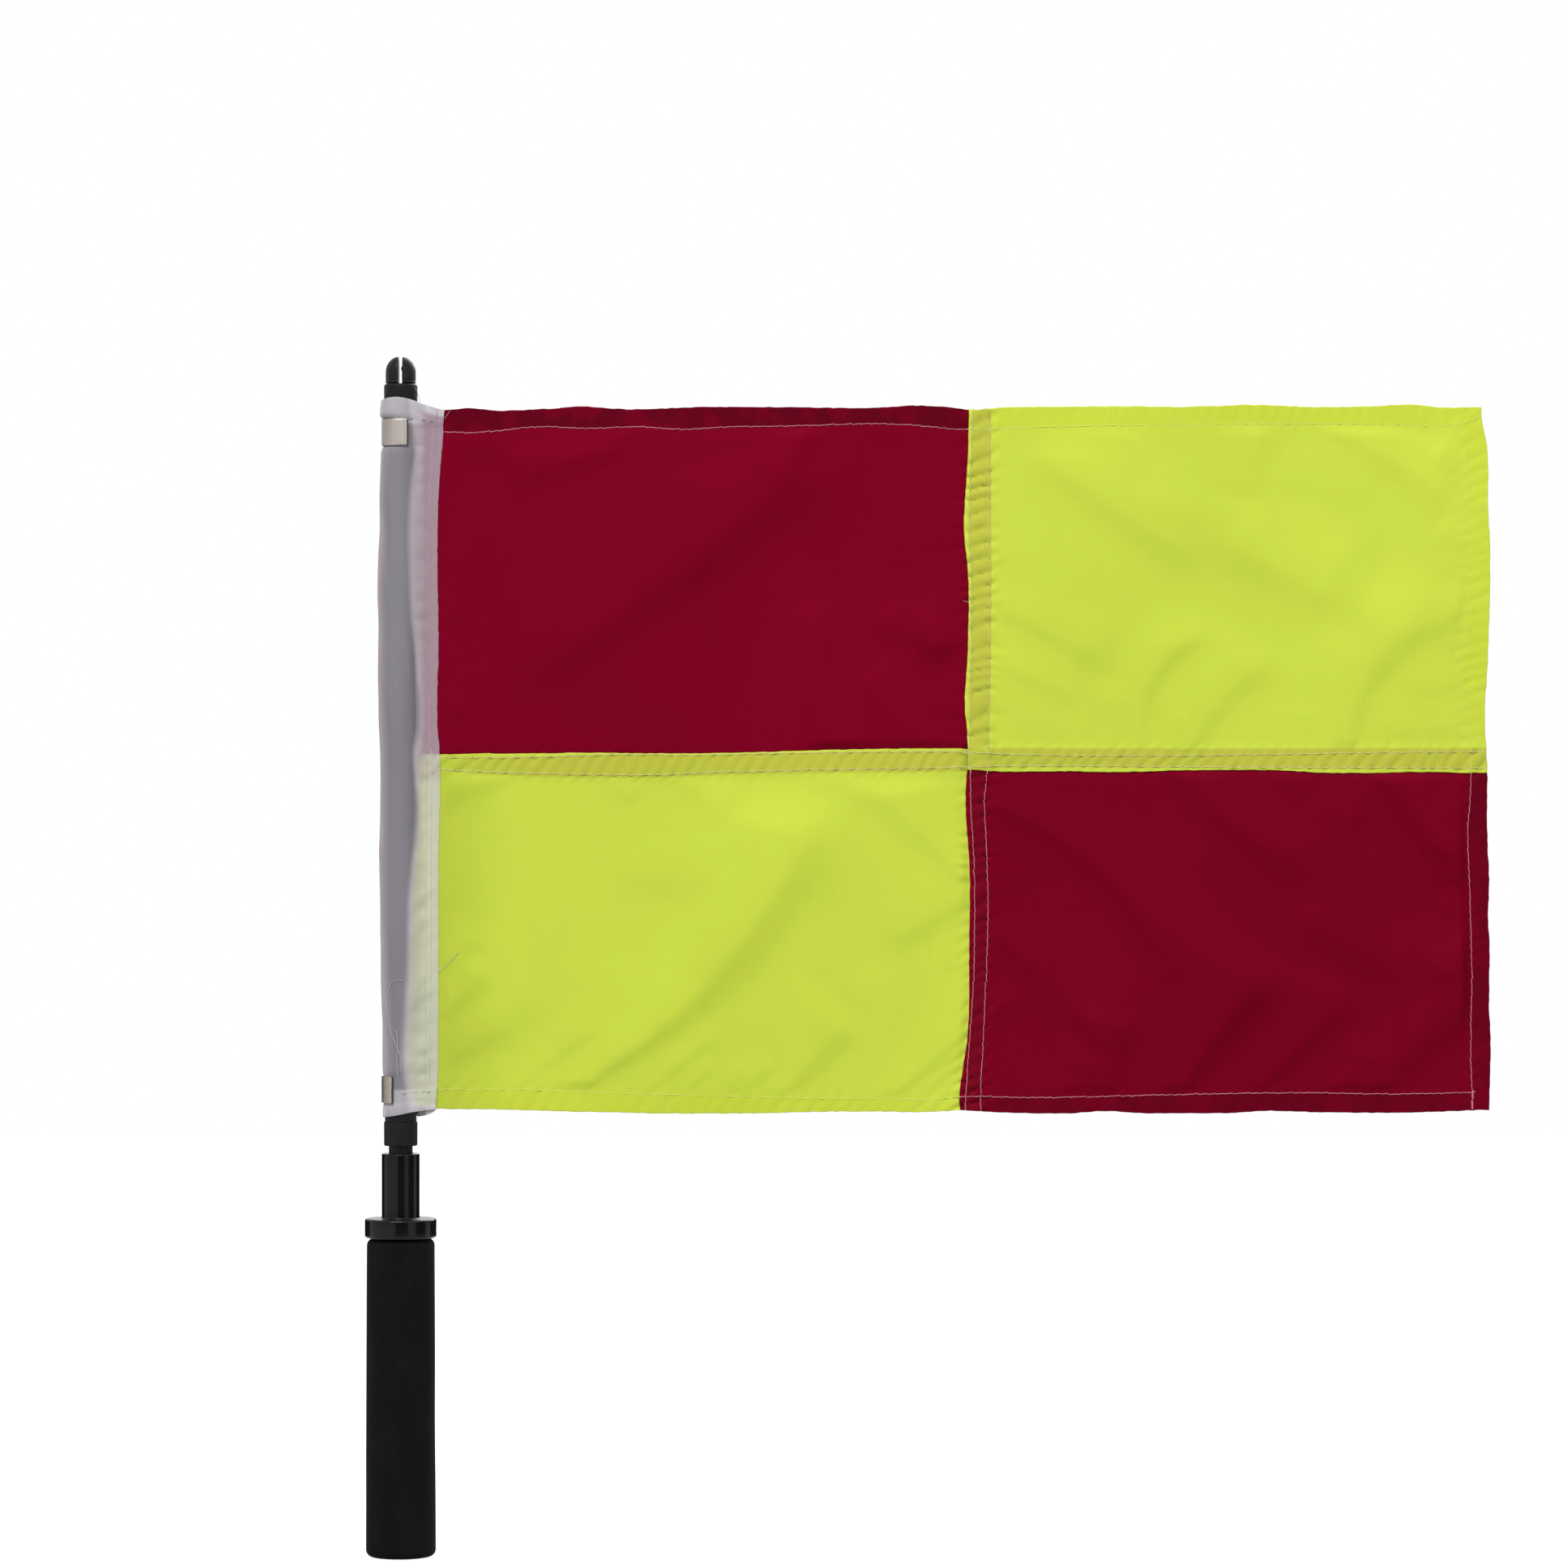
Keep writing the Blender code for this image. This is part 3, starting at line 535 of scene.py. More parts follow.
# A fold runs into a seam at full strength if it ends beside it, or near it and heads for it
FOLD_BESIDE, FOLD_NEAR = 4.0 * MM, 9.0 * MM
# A fold that ends before a seam fades over this many of its widths
FOLD_ROOM = 2.0
# Height of a round ridge of width 1 whose steepest place has a slope of 1
RIDGE_RISE = 1.16
# A fold's steep side lies on its line, so its crest lies this many widths above the line
CREST_ABOVE = 0.7
# An upright fold has to be higher to look as dark, but at most as much as one of this slant
LEAST_SLANT = 0.5
# Cell size, height and seed of every layer
CRINKLE = [(0.045, 0.30 * MM, 11), (0.019, 0.12 * MM, 12), (0.008, 0.035 * MM, 13)]
CRINKLE_SLANT = 0.4
CRINKLE_FREE_AFTER = 0.020


def fold(x, z, line, held=(False, False), spread=1.0, inset=math.inf):
    """A ridge towards the viewer whose steep side lies on the line. A hollow if steep is negative."""
    x1, z1, x2, z2, bend, start_width, end_width, steep = line
    dx, dz = x2 - x1, z2 - z1
    length = math.hypot(dx, dz)
    share = ((x - x1) * dx + (z - z1) * dz) / length**2
    inside = np.clip(share, 0.0, 1.0)
    width = spread * (start_width + (end_width - start_width) * inside)
    across = ((z - z1) * dx - (x - x1) * dz) / length - bend * 4 * inside * (1 - inside) - CREST_ABOVE * width
    height = steep / 100 * RIDGE_RISE * width / max(LEAST_SLANT, abs(dx) / length)
    start = 1.0 if held[0] else smooth(rise(share, -FOLD_LEAD, FOLD_TAPER))
    end = 1.0 if held[1] else smooth(rise(share, 1 + FOLD_LEAD, 1 - FOLD_TAPER))
    wide = np.where(across > 0, FOLD_GENTLE * width, width)
    room = FOLD_ROOM * width * MM * ((1 - held[0]) * (1 - inside) + (1 - held[1]) * inside)
    fade = smooth(rise(inset, 0.0, np.maximum(FOLD_FADE, room)))
    return -height * fade * start * end * np.exp(-((across / wide) ** 2))


def seam_inset(name, x, z):
    """Distance to the panel's nearest row of stitches, 0 in the seams and hems."""
    left, _, _, top = PANEL_BOXES[name]
    inner_left = sleeve_edge if left == hoist_edge else upright_row_right
    inner_right = upright_row_left if left == hoist_edge else fly_row
    inner_bottom = level_row_high if top == cloth_top else bottom_row
    inner_top = top_row if top == cloth_top else level_row_low
    across, up = np.minimum(x - inner_left, inner_right - x), np.minimum(z - inner_bottom, inner_top - z)
    return np.maximum(0.0, np.minimum(across, up))


def folds(name, x, z):
    inset = seam_inset(name, x, z)
    total = 0.0
    for line in FOLDS[name]:
        insets = [seam_inset(name, a * MM, b * MM) for a, b in (line[0:2], line[2:4])]
        held = [one < FOLD_BESIDE or one < min(other, FOLD_NEAR) for one, other in (insets, insets[::-1])]
        total = total + fold(x / MM, z / MM, line, held, FOLD_SPREAD, inset)
    depth = RED_DEPTH if name.startswith("red") else YELLOW_DEPTH
    return depth * MM * total


def crinkle(x, z):
    total = 0.0
    for cell, height, seed in CRINKLE:
        total = total + height * noise(seed, x / cell + CRINKLE_SLANT * z / cell, z / cell)
    return total * smooth(rise(x, hoist_edge, sleeve_edge + CRINKLE_FREE_AFTER))


print("folds:", sum(len(lines) for lines in FOLDS.values()))

# %% [markdown]
# ## Puckers along the seams
# The thread is a little tighter than the cloth, so every seam and hem gathers into short
# ticks across it. Each seam has its own spacing, reach and height of them, and they are as
# uneven as real ones.

# %% Puckers
# Axis that the seam runs along, its two sides, then pitch, reach and height in mm, and slant
PUCKER_LINES = [
    ("z", upright_row_left, upright_row_right, 6.2, 6, 1.15, 0.3),
    ("x", level_row_low, level_row_high, 6.4, 4, 0.74, 0.7),
    ("x", top_row, cloth_top, 6.0, 3.5, 0.26, 0.5),
    ("x", cloth_bottom, bottom_row, 7.5, 5, 0.34, 0.7),
    ("z", fly_row, fly_edge, 6.2, 7, 0.32, 0.3),
    ("z", hoist_edge, sleeve_row, 12.0, 11, 0.18, 0.4),
]
# Neighbouring ticks are alike over this many pitches along the seam, and over a patch across it
PUCKER_PITCHES = 1.3
PUCKER_PATCH = 4.5 * MM
PUCKER_SHARPNESS = 3
PUCKER_MEAN = 0.3125
# The least share of height and reach that every tick has, and how much more it can have
PUCKER_HEIGHTS = (0.25, 0.95)
PUCKER_REACHES = (0.5, 0.8)
# How far slant and place wander, and over how many pitches
SLANT_WANDER = (0.7, 4)
PLACE_WANDER = (0.55, 2.6)
# Sets the noise of a seam's two sides apart
SIDE_APART = 0.37
# The sixteen plies where the seams cross are too stiff to pucker
CROSSING_STIFF = 0.8


def uneven(shares, soft_noise):
    """The least share, and as much more as the noise says."""
    return shares[0] + shares[1] * np.abs(soft_noise)


def pucker(x, z, line, seed):
    axis, low, high, pitch, reach, height, lean = line
    pitch, reach = pitch * MM, reach * MM
    along, across = (z, x) if axis == "z" else (x, z)
    patch = along / (PUCKER_PITCHES * pitch)
    away = np.maximum(0.0, np.maximum(low - across, across - high))
    strength = uneven(PUCKER_HEIGHTS, noise(seed, patch, across / PUCKER_PATCH))
    slant = SLANT_WANDER[0] * noise(seed + 1, along / (SLANT_WANDER[1] * pitch))
    wander = PLACE_WANDER[0] * noise(seed + 2, along / (PLACE_WANDER[1] * pitch))
    side = np.where(across > high, 1.0, -1.0)
    leaning = along - lean * (across - low) + slant * side * away
    tick = (0.5 + 0.5 * np.cos(math.tau * (leaning / pitch + wander))) ** PUCKER_SHARPNESS - PUCKER_MEAN
    own_reach = reach * uneven(PUCKER_REACHES, noise(seed + 3, patch, side * SIDE_APART))
    return height * MM * strength * tick * np.exp(-((away / own_reach) ** 2))


def puckers(x, z):
    total = 0.0
    for number, line in enumerate(PUCKER_LINES):
        total = total + pucker(x, z, line, 20 + 5 * number)
    return total * (1 - CROSSING_STIFF * upright_share(x) * level_share(z))


def surface(name, x, z):
    """Y of the cloth's middle where it is a single ply."""
    return long_waves(x, z) + folds(name, x, z) + puckers(x, z) + crinkle(x, z)


print("pucker lines:", len(PUCKER_LINES))

# %% [markdown]
# ## Edges that wander
# No seam of a sewn flag is straight. Each edge and row gets a short list of how far it is off
# its straight place, measured in the photograph every few centimetres. Between two lines the
# cloth is shifted evenly.

# %% Measured drift of every edge and row
# Along the level lines: x in mm, then how far the line lies above its straight place
LEVEL_DRIFT = [
    (cloth_bottom, [
        (18, 0.7), (44, 0.35), (61, -0.15), (96, -1.0), (130, -1.3), (148, -1.2), (183, -0.5), (209, -0.35),
        (226, -0.6), (244, 0.1), (261, -0.7), (287, -1.25), (304, -0.35), (322, -1.35), (339, -1.3),
        (357, -1.35), (374, -0.35), (391, -0.9), (440, -0.6), (463, 0.4),
    ]),
    (bottom_row, [
        (18, 2.0), (40, 2.0), (110, 0.0), (211, -2.0), (232, -1.9), (243, -0.9), (272, -1.3), (302, -0.9),
        (333, -0.2), (393, 0.5), (423, 0.1), (443, 0.5), (463, 1.4),
    ]),
    (level_bottom, [
        (18, 0.0), (38, -0.9), (57, -1.5), (81, -1.9), (104, -2.1), (116, -1.9), (131, -1.2), (157, -0.5),
        (191, 0.1), (230, 0.5), (245, 0.8), (255, 0.1), (286, 0.1), (306, -0.2), (336, 0.5), (376, 0.5),
        (397, -0.6), (417, -0.6), (437, -0.2), (457, -0.6),
    ]),
    (level_row_low, [
        (18, -0.2), (38, -1.2), (57, -1.8), (81, -2.2), (104, -2.5), (116, -2.2), (131, -1.4), (157, -0.8),
        (191, 0.0), (230, 0.6), (255, 1.2), (360, 0.8), (465, 0.4),
    ]),
    (level_row_high, [
        (18, -2.0), (50, -2.0), (69, -1.5), (92, -0.9), (131, -1.0), (152, -0.5), (172, -0.1), (208, 0.3),
        (230, 0.5), (255, -0.4), (465, 0.5),
    ]),
    (level_top, [
        (20, -1.8), (34, -1.4), (50, -1.5), (79, -1.1), (101, -1.35), (121, -1.4), (133, -1.3), (152, -0.9),
        (172, -0.2), (185, 0.15), (211, 0.6), (232, 0.8), (243, 0.6), (300, 0.2), (465, 0.3),
    ]),
    (top_row, [
        (20, -3.3), (30, -3.7), (40, -3.0), (50, -1.9), (61, -1.2), (81, -1.9), (101, -1.2), (121, -2.3),
        (141, -1.2), (161, -0.9), (222, -0.5), (232, -1.6), (249, -2.1), (277, -1.2), (322, -0.5),
        (426, 0.0), (454, -0.2), (463, 2.0),
    ]),
    (cloth_top, [
        (20, -0.7), (30, 0.0), (40, -1.0), (61, -0.4), (81, 0.6), (91, -0.3), (131, 0.5), (171, 0.4),
        (202, 0.3), (222, 1.3), (232, 0.7), (243, -0.4), (255, 0.2), (300, 0.7), (340, 0.4), (364, 1.2),
        (395, 0.4), (418, 0.9), (434, 1.6), (451, 0.35), (463, 0.6),
    ]),
]
# Along the upright lines: z in mm, then how far the line lies to the right of its place
UPRIGHT_DRIFT = [
    (sleeve_edge, [(190, 0.0), (492, 0.0)]),
    (upright_left, [
        (191, -3.2), (195, -3.5), (202, -3.2), (209, -2.1), (223, 0.0), (237, 0.7), (251, 0.7), (300, 0.6),
        (313, -0.4), (327, -0.7), (337, 0.0), (350, 0.0), (364, -1.1), (385, 0.0), (426, 0.0), (440, -1.4),
        (447, -1.4), (461, -0.4), (475, 0.3), (489, 0.65),
    ]),
    (upright_row_left, [
        (191, -2.2), (200, -1.75), (249, 1.55), (298, 1.65), (320, 0.4), (340, 0.0), (367, 0.2), (427, 0.4),
        (445, -0.2), (461, 0.1), (491, 1.3),
    ]),
    (upright_row_right, [
        (191, -4.0), (200, -3.8), (214, -3.1), (228, -2.4), (242, -1.75), (249, -1.35), (298, -1.05),
        (305, -1.35), (325, -2.0), (336, -0.85), (367, -0.5), (412, 0.0), (491, 0.0),
    ]),
    (upright_right, [(191, -4.0), (214, -3.1), (249, -1.3), (325, -1.9), (367, -0.4), (491, 0.0)]),
    (fly_row, [
        (200, 1.0), (207, 0.6), (228, 0.6), (249, 1.0), (270, 0.6), (291, -0.1), (312, -0.8), (326, 0.3),
        (333, 0.6), (364, -2.0), (445, 0.3), (465, -0.8), (482, -2.5),
    ]),
    (fly_edge, [
        (192, -0.1), (205, 0.2), (218, 0.5), (236, -0.15), (260, 0.15), (274, -0.45), (288, 0.0),
        (309, -0.8), (323, -0.9), (337, -0.8), (344, -1.15), (358, -1.9), (378, -0.9), (399, 0.0),
        (420, 0.55), (434, 0.4), (448, -0.25), (462, -0.15), (476, -1.0), (483, -2.5), (490, -2.95),
    ]),
]
EDGE_RIPPLE = 0.16 * MM
EDGE_RIPPLE_CELL = 2.1 * MM


def shifted(lines, across, along, seed):
    """Drift of a place, from the lines on both sides of it."""
    curves = [through(knots, along) for _, knots in lines]
    total = curves[0]
    for (start, _), (end, _), low, high in zip(lines, lines[1:], curves, curves[1:]):
        total = total + rise(across, start, end) * (high - low)
    return total + EDGE_RIPPLE * noise(seed, along / EDGE_RIPPLE_CELL, across / EDGE_RIPPLE_CELL)


def drifted(x, z):
    """Where a place of the straight pattern really lies."""
    return x + shifted(UPRIGHT_DRIFT, x, z, 71), z + shifted(LEVEL_DRIFT, z, x, 72)


there = drifted(np.array(fly_edge), np.array(cloth_top))
print("upper fly corner in mm:", [round(float(v) / MM, 1) for v in there])

# %% [markdown]
# ## Plies
# A seam is four plies thick, because its edges are folded into each other, a hem three, and
# the places where they cross more. A ply's height is counted in plies, fold by fold in the
# order in which a sewer makes them: level seam, upright seam, top and bottom hems, fly hem.
# Deep stacks are pressed a little flatter than their count.

# %% Heights in the stack of plies
CLOTH = 0.12 * MM
PLY = 0.19 * MM
PRESSED_AFTER = 40.0
LAP_RAMP = 3.0 * MM
HEM_RAMP = 1.2 * MM
HEM_BEYOND_ROW = 0.9 * MM
# The outermost of a seam's four plies lies this many plies from the middle
OUTMOST = 1.5


def seam_share(place, low, high):
    """1 in a seam, with a ramp on both sides of it."""
    return np.minimum(rise(place, low - LAP_RAMP, low), rise(place, high + LAP_RAMP, high))


def upright_share(x):
    return seam_share(x, upright_left, upright_right)


def level_share(z):
    return seam_share(z, level_bottom, level_top)


def hem_share(z):
    low_end = bottom_row + HEM_BEYOND_ROW
    high_end = top_row - HEM_BEYOND_ROW
    return np.maximum(rise(z, low_end + HEM_RAMP, low_end), rise(z, high_end - HEM_RAMP, high_end))


def fly_share(x):
    end = fly_row - HEM_BEYOND_ROW
    return rise(x, end - HEM_RAMP, end)


def pressed(plies):
    return PLY * plies / (1 + np.abs(plies) / PRESSED_AFTER)


def front_y(name, x, z):
    """Y of the foremost face of the whole stack."""
    upright, level = upright_share(x), level_share(z)
    plies = -OUTMOST * upright * (1 + 3 * level) - OUTMOST * level
    return surface(name, x, z) + pressed(plies) - CLOTH / 2


def back_y(name, x, z):
    """Y of the rearmost face of the whole stack."""
    upright, level, hem, fly = upright_share(x), level_share(z), hem_share(z), fly_share(x)
    seams = OUTMOST * upright * (1 + 3 * level) + OUTMOST * level
    hems = hem * (2 * (1 + 3 * upright) + OUTMOST * upright)
    flies = fly * (2 * (1 + 2 * hem + 3 * level) + 2 * hem + OUTMOST * level)
    return surface(name, x, z) + pressed(np.maximum(np.maximum(seams, hems), flies)) + CLOTH / 2


crossing = pressed(OUTMOST * (1 + 3) + OUTMOST) * 2
print("the sixteen plies where the seams cross are mm thick:", round(float(crossing / MM), 2))

# %% [markdown]
# ## One panel
# A panel is a grid whose columns and rows turn round at its edges and run back under the
# cloth, so hems and seams are folded from the same sheet, as a sewer does. A displaced plane
# would leave raw edges. Its UV map is the unfolded length in metres, so the weave follows.

# %% The course of a panel in one direction
CELL = 1.25 * MM
TURN_STEPS = 4
LAP_TURN_DEPTH = 6.0 * MM
# How many plies the cloth climbs where it turns
TURN_PLIES = {"raw": 0, "lap": 1, "hem": 2}
# Sine of every station of a half turn, and its share of the climb
half_turns = [math.pi * i / TURN_STEPS for i in range(1, TURN_STEPS + 1)]
HALF_TURN = [(math.sin(turn), (1 - math.cos(turn)) / 2) for turn in half_turns]
# Share of a climb that counts as length of cloth
CLIMB_LENGTH = 0.6
# Extra stations beside an edge, in mm
EDGE_MARKS = (0.5, 1.2)


def spaced(start, end, marks, spacing):
    """Places from start to end that hold every mark once and lie no further apart than spacing."""
    stops = [start] + sorted({round(m, 6) for m in marks if start < m < end}) + [end]
    places = [start]
    for a, b in zip(stops, stops[1:]):
        count = max(1, math.ceil((b - a) / spacing - 0.001))
        places += [a + (b - a) * i / count for i in range(1, count + 1)]
    return places


def turned_end(kind, edge, inward, depth):
    """Stations beyond an edge: place, plies of lap, plies of hem, share of lap and hem flipped."""
    if kind == "raw":
        return []
    hem = kind == "hem"
    plies = TURN_PLIES[kind]
    radius = plies * PLY / 2
    stations = []

    def add(place, level, flip):
        stations.append((place, 0.0, level, 0.0, flip) if hem else (place, level, 0.0, flip, 0.0))

    for sine, share in HALF_TURN:
        add(edge + inward * radius * (1 - sine), plies * share, share)
    start, end = edge + inward * radius, edge + inward * depth
    for place in spaced(min(start, end), max(start, end), [], CELL / 2)[:: int(inward)][1:]:
        add(place, plies, 1.0)
    if hem:
        for sine, share in HALF_TURN:
            add(end + inward * PLY / 2 * sine, 2 - share, 1 - share)
        for place in spaced(min(start, end), max(start, end), [], 2 * CELL)[:: -int(inward)][1:-1]:
            add(place, 1.0, 0.0)
    return stations


def course(low, high, marks, low_end, high_end):
    """Every station of a panel in one direction, from its inmost low end to its inmost high end."""
    low_turn, low_depth = low_end
    high_turn, high_depth = high_end
    low_inset = PLY / 2 * TURN_PLIES[low_turn]
    high_inset = PLY / 2 * TURN_PLIES[high_turn]
    near = [place for mark in EDGE_MARKS for place in (low + mark * MM, high - mark * MM)]
    flat = [(p, 0.0, 0.0, 0.0, 0.0) for p in spaced(low + low_inset, high - high_inset, marks + near, CELL)]
    before = turned_end(low_turn, low, 1.0, low_depth)[::-1]
    after = turned_end(high_turn, high, -1.0, high_depth)
    rows = np.array(before + flat + after)
    steps = np.abs(np.diff(rows[:, 0])) + PLY * np.abs(np.diff(rows[:, 1] + rows[:, 2])) * CLIMB_LENGTH
    length = np.concatenate([[0.0], np.cumsum(steps)])
    return {"at": rows[:, 0], "lap": rows[:, 1], "hem": rows[:, 2], "lap_flip": rows[:, 3],
            "hem_flip": rows[:, 4], "length": length}


print("stations of a trial course:", len(course(0.0, 0.2, [], ("lap", 0.006), ("hem", 0.009))["at"]))


# %% A sheet of quads from an array of points
def stacked(*arrays):
    """Arrays of columns and rows as one array of points."""
    return np.stack(np.broadcast_arrays(*arrays), axis=-1)


def sheet_mesh(name, points, uv, fields):
    """points is (columns, rows, 3), uv is (columns, rows, 2) and fields are (columns, rows)."""
    across, up = points.shape[:2]
    number = np.arange(across * up).reshape(across, up)
    quads = stacked(number[:-1, :-1], number[1:, :-1], number[1:, 1:], number[:-1, 1:]).reshape(-1, 4)
    mesh = bpy.data.meshes.new(name)
    mesh.from_pydata(points.reshape(-1, 3).tolist(), [], quads.tolist())
    layer = mesh.uv_layers.new(name="weave")
    layer.data.foreach_set("uv", uv.reshape(-1, 2)[quads.ravel()].astype(np.float32).ravel())
    for field, values in fields.items():
        attribute = mesh.attributes.new(field, "FLOAT", "POINT")
        attribute.data.foreach_set("value", values.astype(np.float32).ravel())
    return mesh


def evaluated(piece):
    """The mesh that the piece shows."""
    bpy.context.view_layer.update()
    graph = bpy.context.evaluated_depsgraph_get()
    mesh = bpy.data.meshes.new_from_object(piece.evaluated_get(graph), depsgraph=graph)
    mesh.name = piece.name
    return mesh


def apply_modifiers(piece):
    mesh = evaluated(piece)
    piece.modifiers.clear()
    piece.data = mesh


SHARP_ANGLE = math.radians(40)


def new_piece(name, mesh, finish):
    """Put a mesh in the scene, smooth but for its sharp edges."""
    piece = add_object(name, mesh)
    mesh.materials.clear()
    mesh.materials.append(finish)
    mesh.shade_smooth()
    mesh.set_sharp_from_angle(angle=SHARP_ANGLE)
    return piece


def thickened(piece, thickness):
    skin = piece.modifiers.new("thickness", "SOLIDIFY")
    skin.thickness = thickness
    skin.offset = 0.0
    apply_modifiers(piece)
    return piece


def tell(piece, *more):
    print(piece.name, "triangles:", 2 * len(piece.data.polygons), *more)


# %% The four panels
RIGHT_PANELS = ("yellow_panel_upper", "red_panel_lower")
# Stations beside a row of stitches, in mm
ROW_MARKS = [-1.2, -0.5, 0.0, 0.5, 1.2]
BAND_SOFT = 0.35 * MM
BAND_BEYOND = 0.5 * MM


def panel_points(name, columns, rows):
    """Places of all plies of a panel, in the right half or the left, in front or behind."""
    side = -1.0 if name in RIGHT_PANELS else 1.0
    tier = -1.0 if name.startswith("yellow") else 1.0
    x, z = columns["at"][:, None], rows["at"][None, :]
    upright, level, hem = upright_share(x), level_share(z), hem_share(z)
    seam_plies = 1 + 3 * level
    plies = tier * (OUTMOST * level - rows["lap"][None, :])
    plies = plies * (1 - 2 * columns["lap_flip"][:, None])
    plies = plies + side * seam_plies * (OUTMOST * upright - columns["lap"][:, None])
    plies = plies * (1 - 2 * rows["hem_flip"][None, :]) + rows["hem"][None, :] * (1 + 3 * upright)
    flip = columns["hem_flip"][:, None]
    plies = plies * (1 - 2 * flip) + 2 * hem * flip + columns["hem"][:, None] * (1 + 2 * hem + 3 * level)
    y = surface(name, x, z) + pressed(plies)
    place_x, place_z = drifted(x, z)
    return stacked(place_x, y, place_z)


def between(value, low, high):
    """1 between two places, with soft ends outside them."""
    return np.minimum(rise(value, low - BAND_SOFT, low), rise(value, high + BAND_SOFT, high))


def band_fields(name, columns, rows):
    """Where the other colour lies behind a panel, and where a hem doubles it."""
    x, z = columns["at"][:, None], rows["at"][None, :]
    if name in RIGHT_PANELS:
        upright = between(x, upright_row_left, upright_row_right + BAND_BEYOND)
    else:
        upright = between(x, upright_row_left - BAND_BEYOND, upright_row_right)
    if name.endswith("upper"):
        level = between(z, level_row_low, level_top + BAND_SOFT)
    else:
        level = between(z, level_bottom - BAND_SOFT, level_row_high)
    hem = np.maximum(rise(z, bottom_row + BAND_SOFT, bottom_row), rise(z, top_row - BAND_SOFT, top_row))
    fly = rise(x, fly_row - BAND_SOFT, fly_row)
    return {"other_behind": np.maximum(upright, level), "hem_ply": np.maximum(hem, fly)}


def build_panel(name, piece_name, finish):
    left, right, bottom, top = PANEL_BOXES[name]
    x_rows = [upright_row_left, upright_row_right, fly_row, sleeve_row]
    z_rows = [bottom_row, level_row_low, level_row_high, top_row]
    x_marks = [row + m * MM for row in x_rows for m in ROW_MARKS]
    z_marks = [row + m * MM for row in z_rows for m in ROW_MARKS]
    x_marks += [upright_left - LAP_RAMP, upright_right + LAP_RAMP, upright_right]
    z_marks += [level_bottom - LAP_RAMP, level_top + LAP_RAMP]
    hem = ("hem", cloth_top - top_row + HEM_BEYOND_ROW)
    fly = ("hem", fly_edge - fly_row + HEM_BEYOND_ROW)
    lap = ("lap", LAP_TURN_DEPTH)
    x_ends = (("raw", 0.0), lap) if left == hoist_edge else (lap, fly)
    z_ends = (lap, hem) if top == cloth_top else (hem, lap)
    columns = course(left, right, x_marks, *x_ends)
    rows = course(bottom, top, z_marks, *z_ends)
    points = panel_points(name, columns, rows)
    uv = stacked(columns["length"][:, None], rows["length"][None, :])
    mesh = sheet_mesh(piece_name, points, uv, band_fields(name, columns, rows))
    piece = thickened(new_piece(piece_name, mesh, finish), CLOTH)
    flat = (float(columns["length"][-1]), float(rows["length"][-1]))
    tell(piece, "cut to mm:", [round(size / MM, 1) for size in flat])
    return piece, flat


# %% [markdown]
# ## Cloth finishes
# The cloth is thin plain-woven polyester. Doubled, it lets less light through, and the other
# colour tints it from behind: these places are fields stored on the mesh. On the UV map, two
# sines at a right angle give the threads, and streaks along them the uneven yarn.

# %% Woven finish
THREAD_PITCH = 0.42 * MM
WEAVE_RELIEF = 0.035 * MM
# Streaks of uneven yarn to the metre
YARN_STREAKS = 30.0
# Painted shade on a cloth: from x, to x, share. Shade is painted on the yellow beside the
# sleeve's turned edges, where less light comes through, and on the red panel far from the lamps
YELLOW_PAINTED_SHADE = (50 * MM, 12 * MM, 0.95)
RED_PAINTED_SHADE = (240 * MM, 256 * MM, 0.40)


def weave(finish):
    """Height of a plain weave and the two directions' uneven yarn, on the UV map."""
    spot = finish.node("ShaderNodeUVMap", {"uv_map": "weave"})
    u, v, _ = finish.parts(spot)
    turn = math.tau / THREAD_PITCH
    threads = (u * turn).sine() * (v * turn).sine()
    warp = finish.noise(finish.stretched(spot, (1 / (2 * THREAD_PITCH), YARN_STREAKS, 1.0)), 1.0, 2.0)
    weft = finish.noise(finish.stretched(spot, (YARN_STREAKS, 1 / (2 * THREAD_PITCH), 1.0)), 1.0, 2.0)
    return spot, threads, warp + weft - 1.0


def field(finish, name):
    return finish.node("ShaderNodeAttribute", {"attribute_name": name}, output="Fac")


def cloth_finish(name, plain, doubled, tinted, shine, sheen_tint, shade):
    finish = Finish(name)
    spot, threads, yarn = weave(finish)
    x = finish.place()[1][0]
    patches = finish.noise(spot, 22.0, 3.0)
    blotches = finish.noise(spot, 70.0, 2.0)
    hem = field(finish, "hem_ply") * (blotches.step(0.38, 0.62) * 0.9 + 0.45)
    colour = finish.mix(hem, plain, doubled)
    colour = finish.mix(field(finish, "other_behind"), colour, tinted)
    dark = [c * 0.80 for c in plain]
    # Painted shade: the colour darkens over the given stretch of x
    colour = finish.mix(x.step(*shade[:2]) * shade[2], colour, dark)
    uneven_dye = patches.step(0.62, 0.34) * 0.12 + yarn * 0.16 + threads * 0.035 + 0.035
    colour = finish.mix(uneven_dye, colour, dark)
    finish.set({
        "Base Color": colour,
        "Roughness": 0.72 + yarn * 0.25,
        "Specular IOR Level": shine,
        "Sheen Weight": 0.04,
        "Sheen Roughness": 0.45,
        "Sheen Tint": sheen_tint,
        "Normal": finish.bump(threads * 0.5 + yarn * 0.8, WEAVE_RELIEF, 0.6),
    })
    return finish.material


# Plain, doubled in a hem, and with the other colour behind
REDS = [(0.200, 0.0002, 0.0140), (0.110, 0.0008, 0.0092), (0.172, 0.0022, 0.0125)]
YELLOWS = [(0.590, 0.705, 0.064), (0.592, 0.690, 0.052), (0.500, 0.520, 0.056)]
red_cloth = cloth_finish("red_cloth", *REDS, 0.03, (0.6, 0.02, 0.05), RED_PAINTED_SHADE)
yellow_cloth = cloth_finish("yellow_cloth", *YELLOWS, 0.08, (0.8, 1.0, 0.2), YELLOW_PAINTED_SHADE)
print("thread pitch in mm:", THREAD_PITCH / MM)

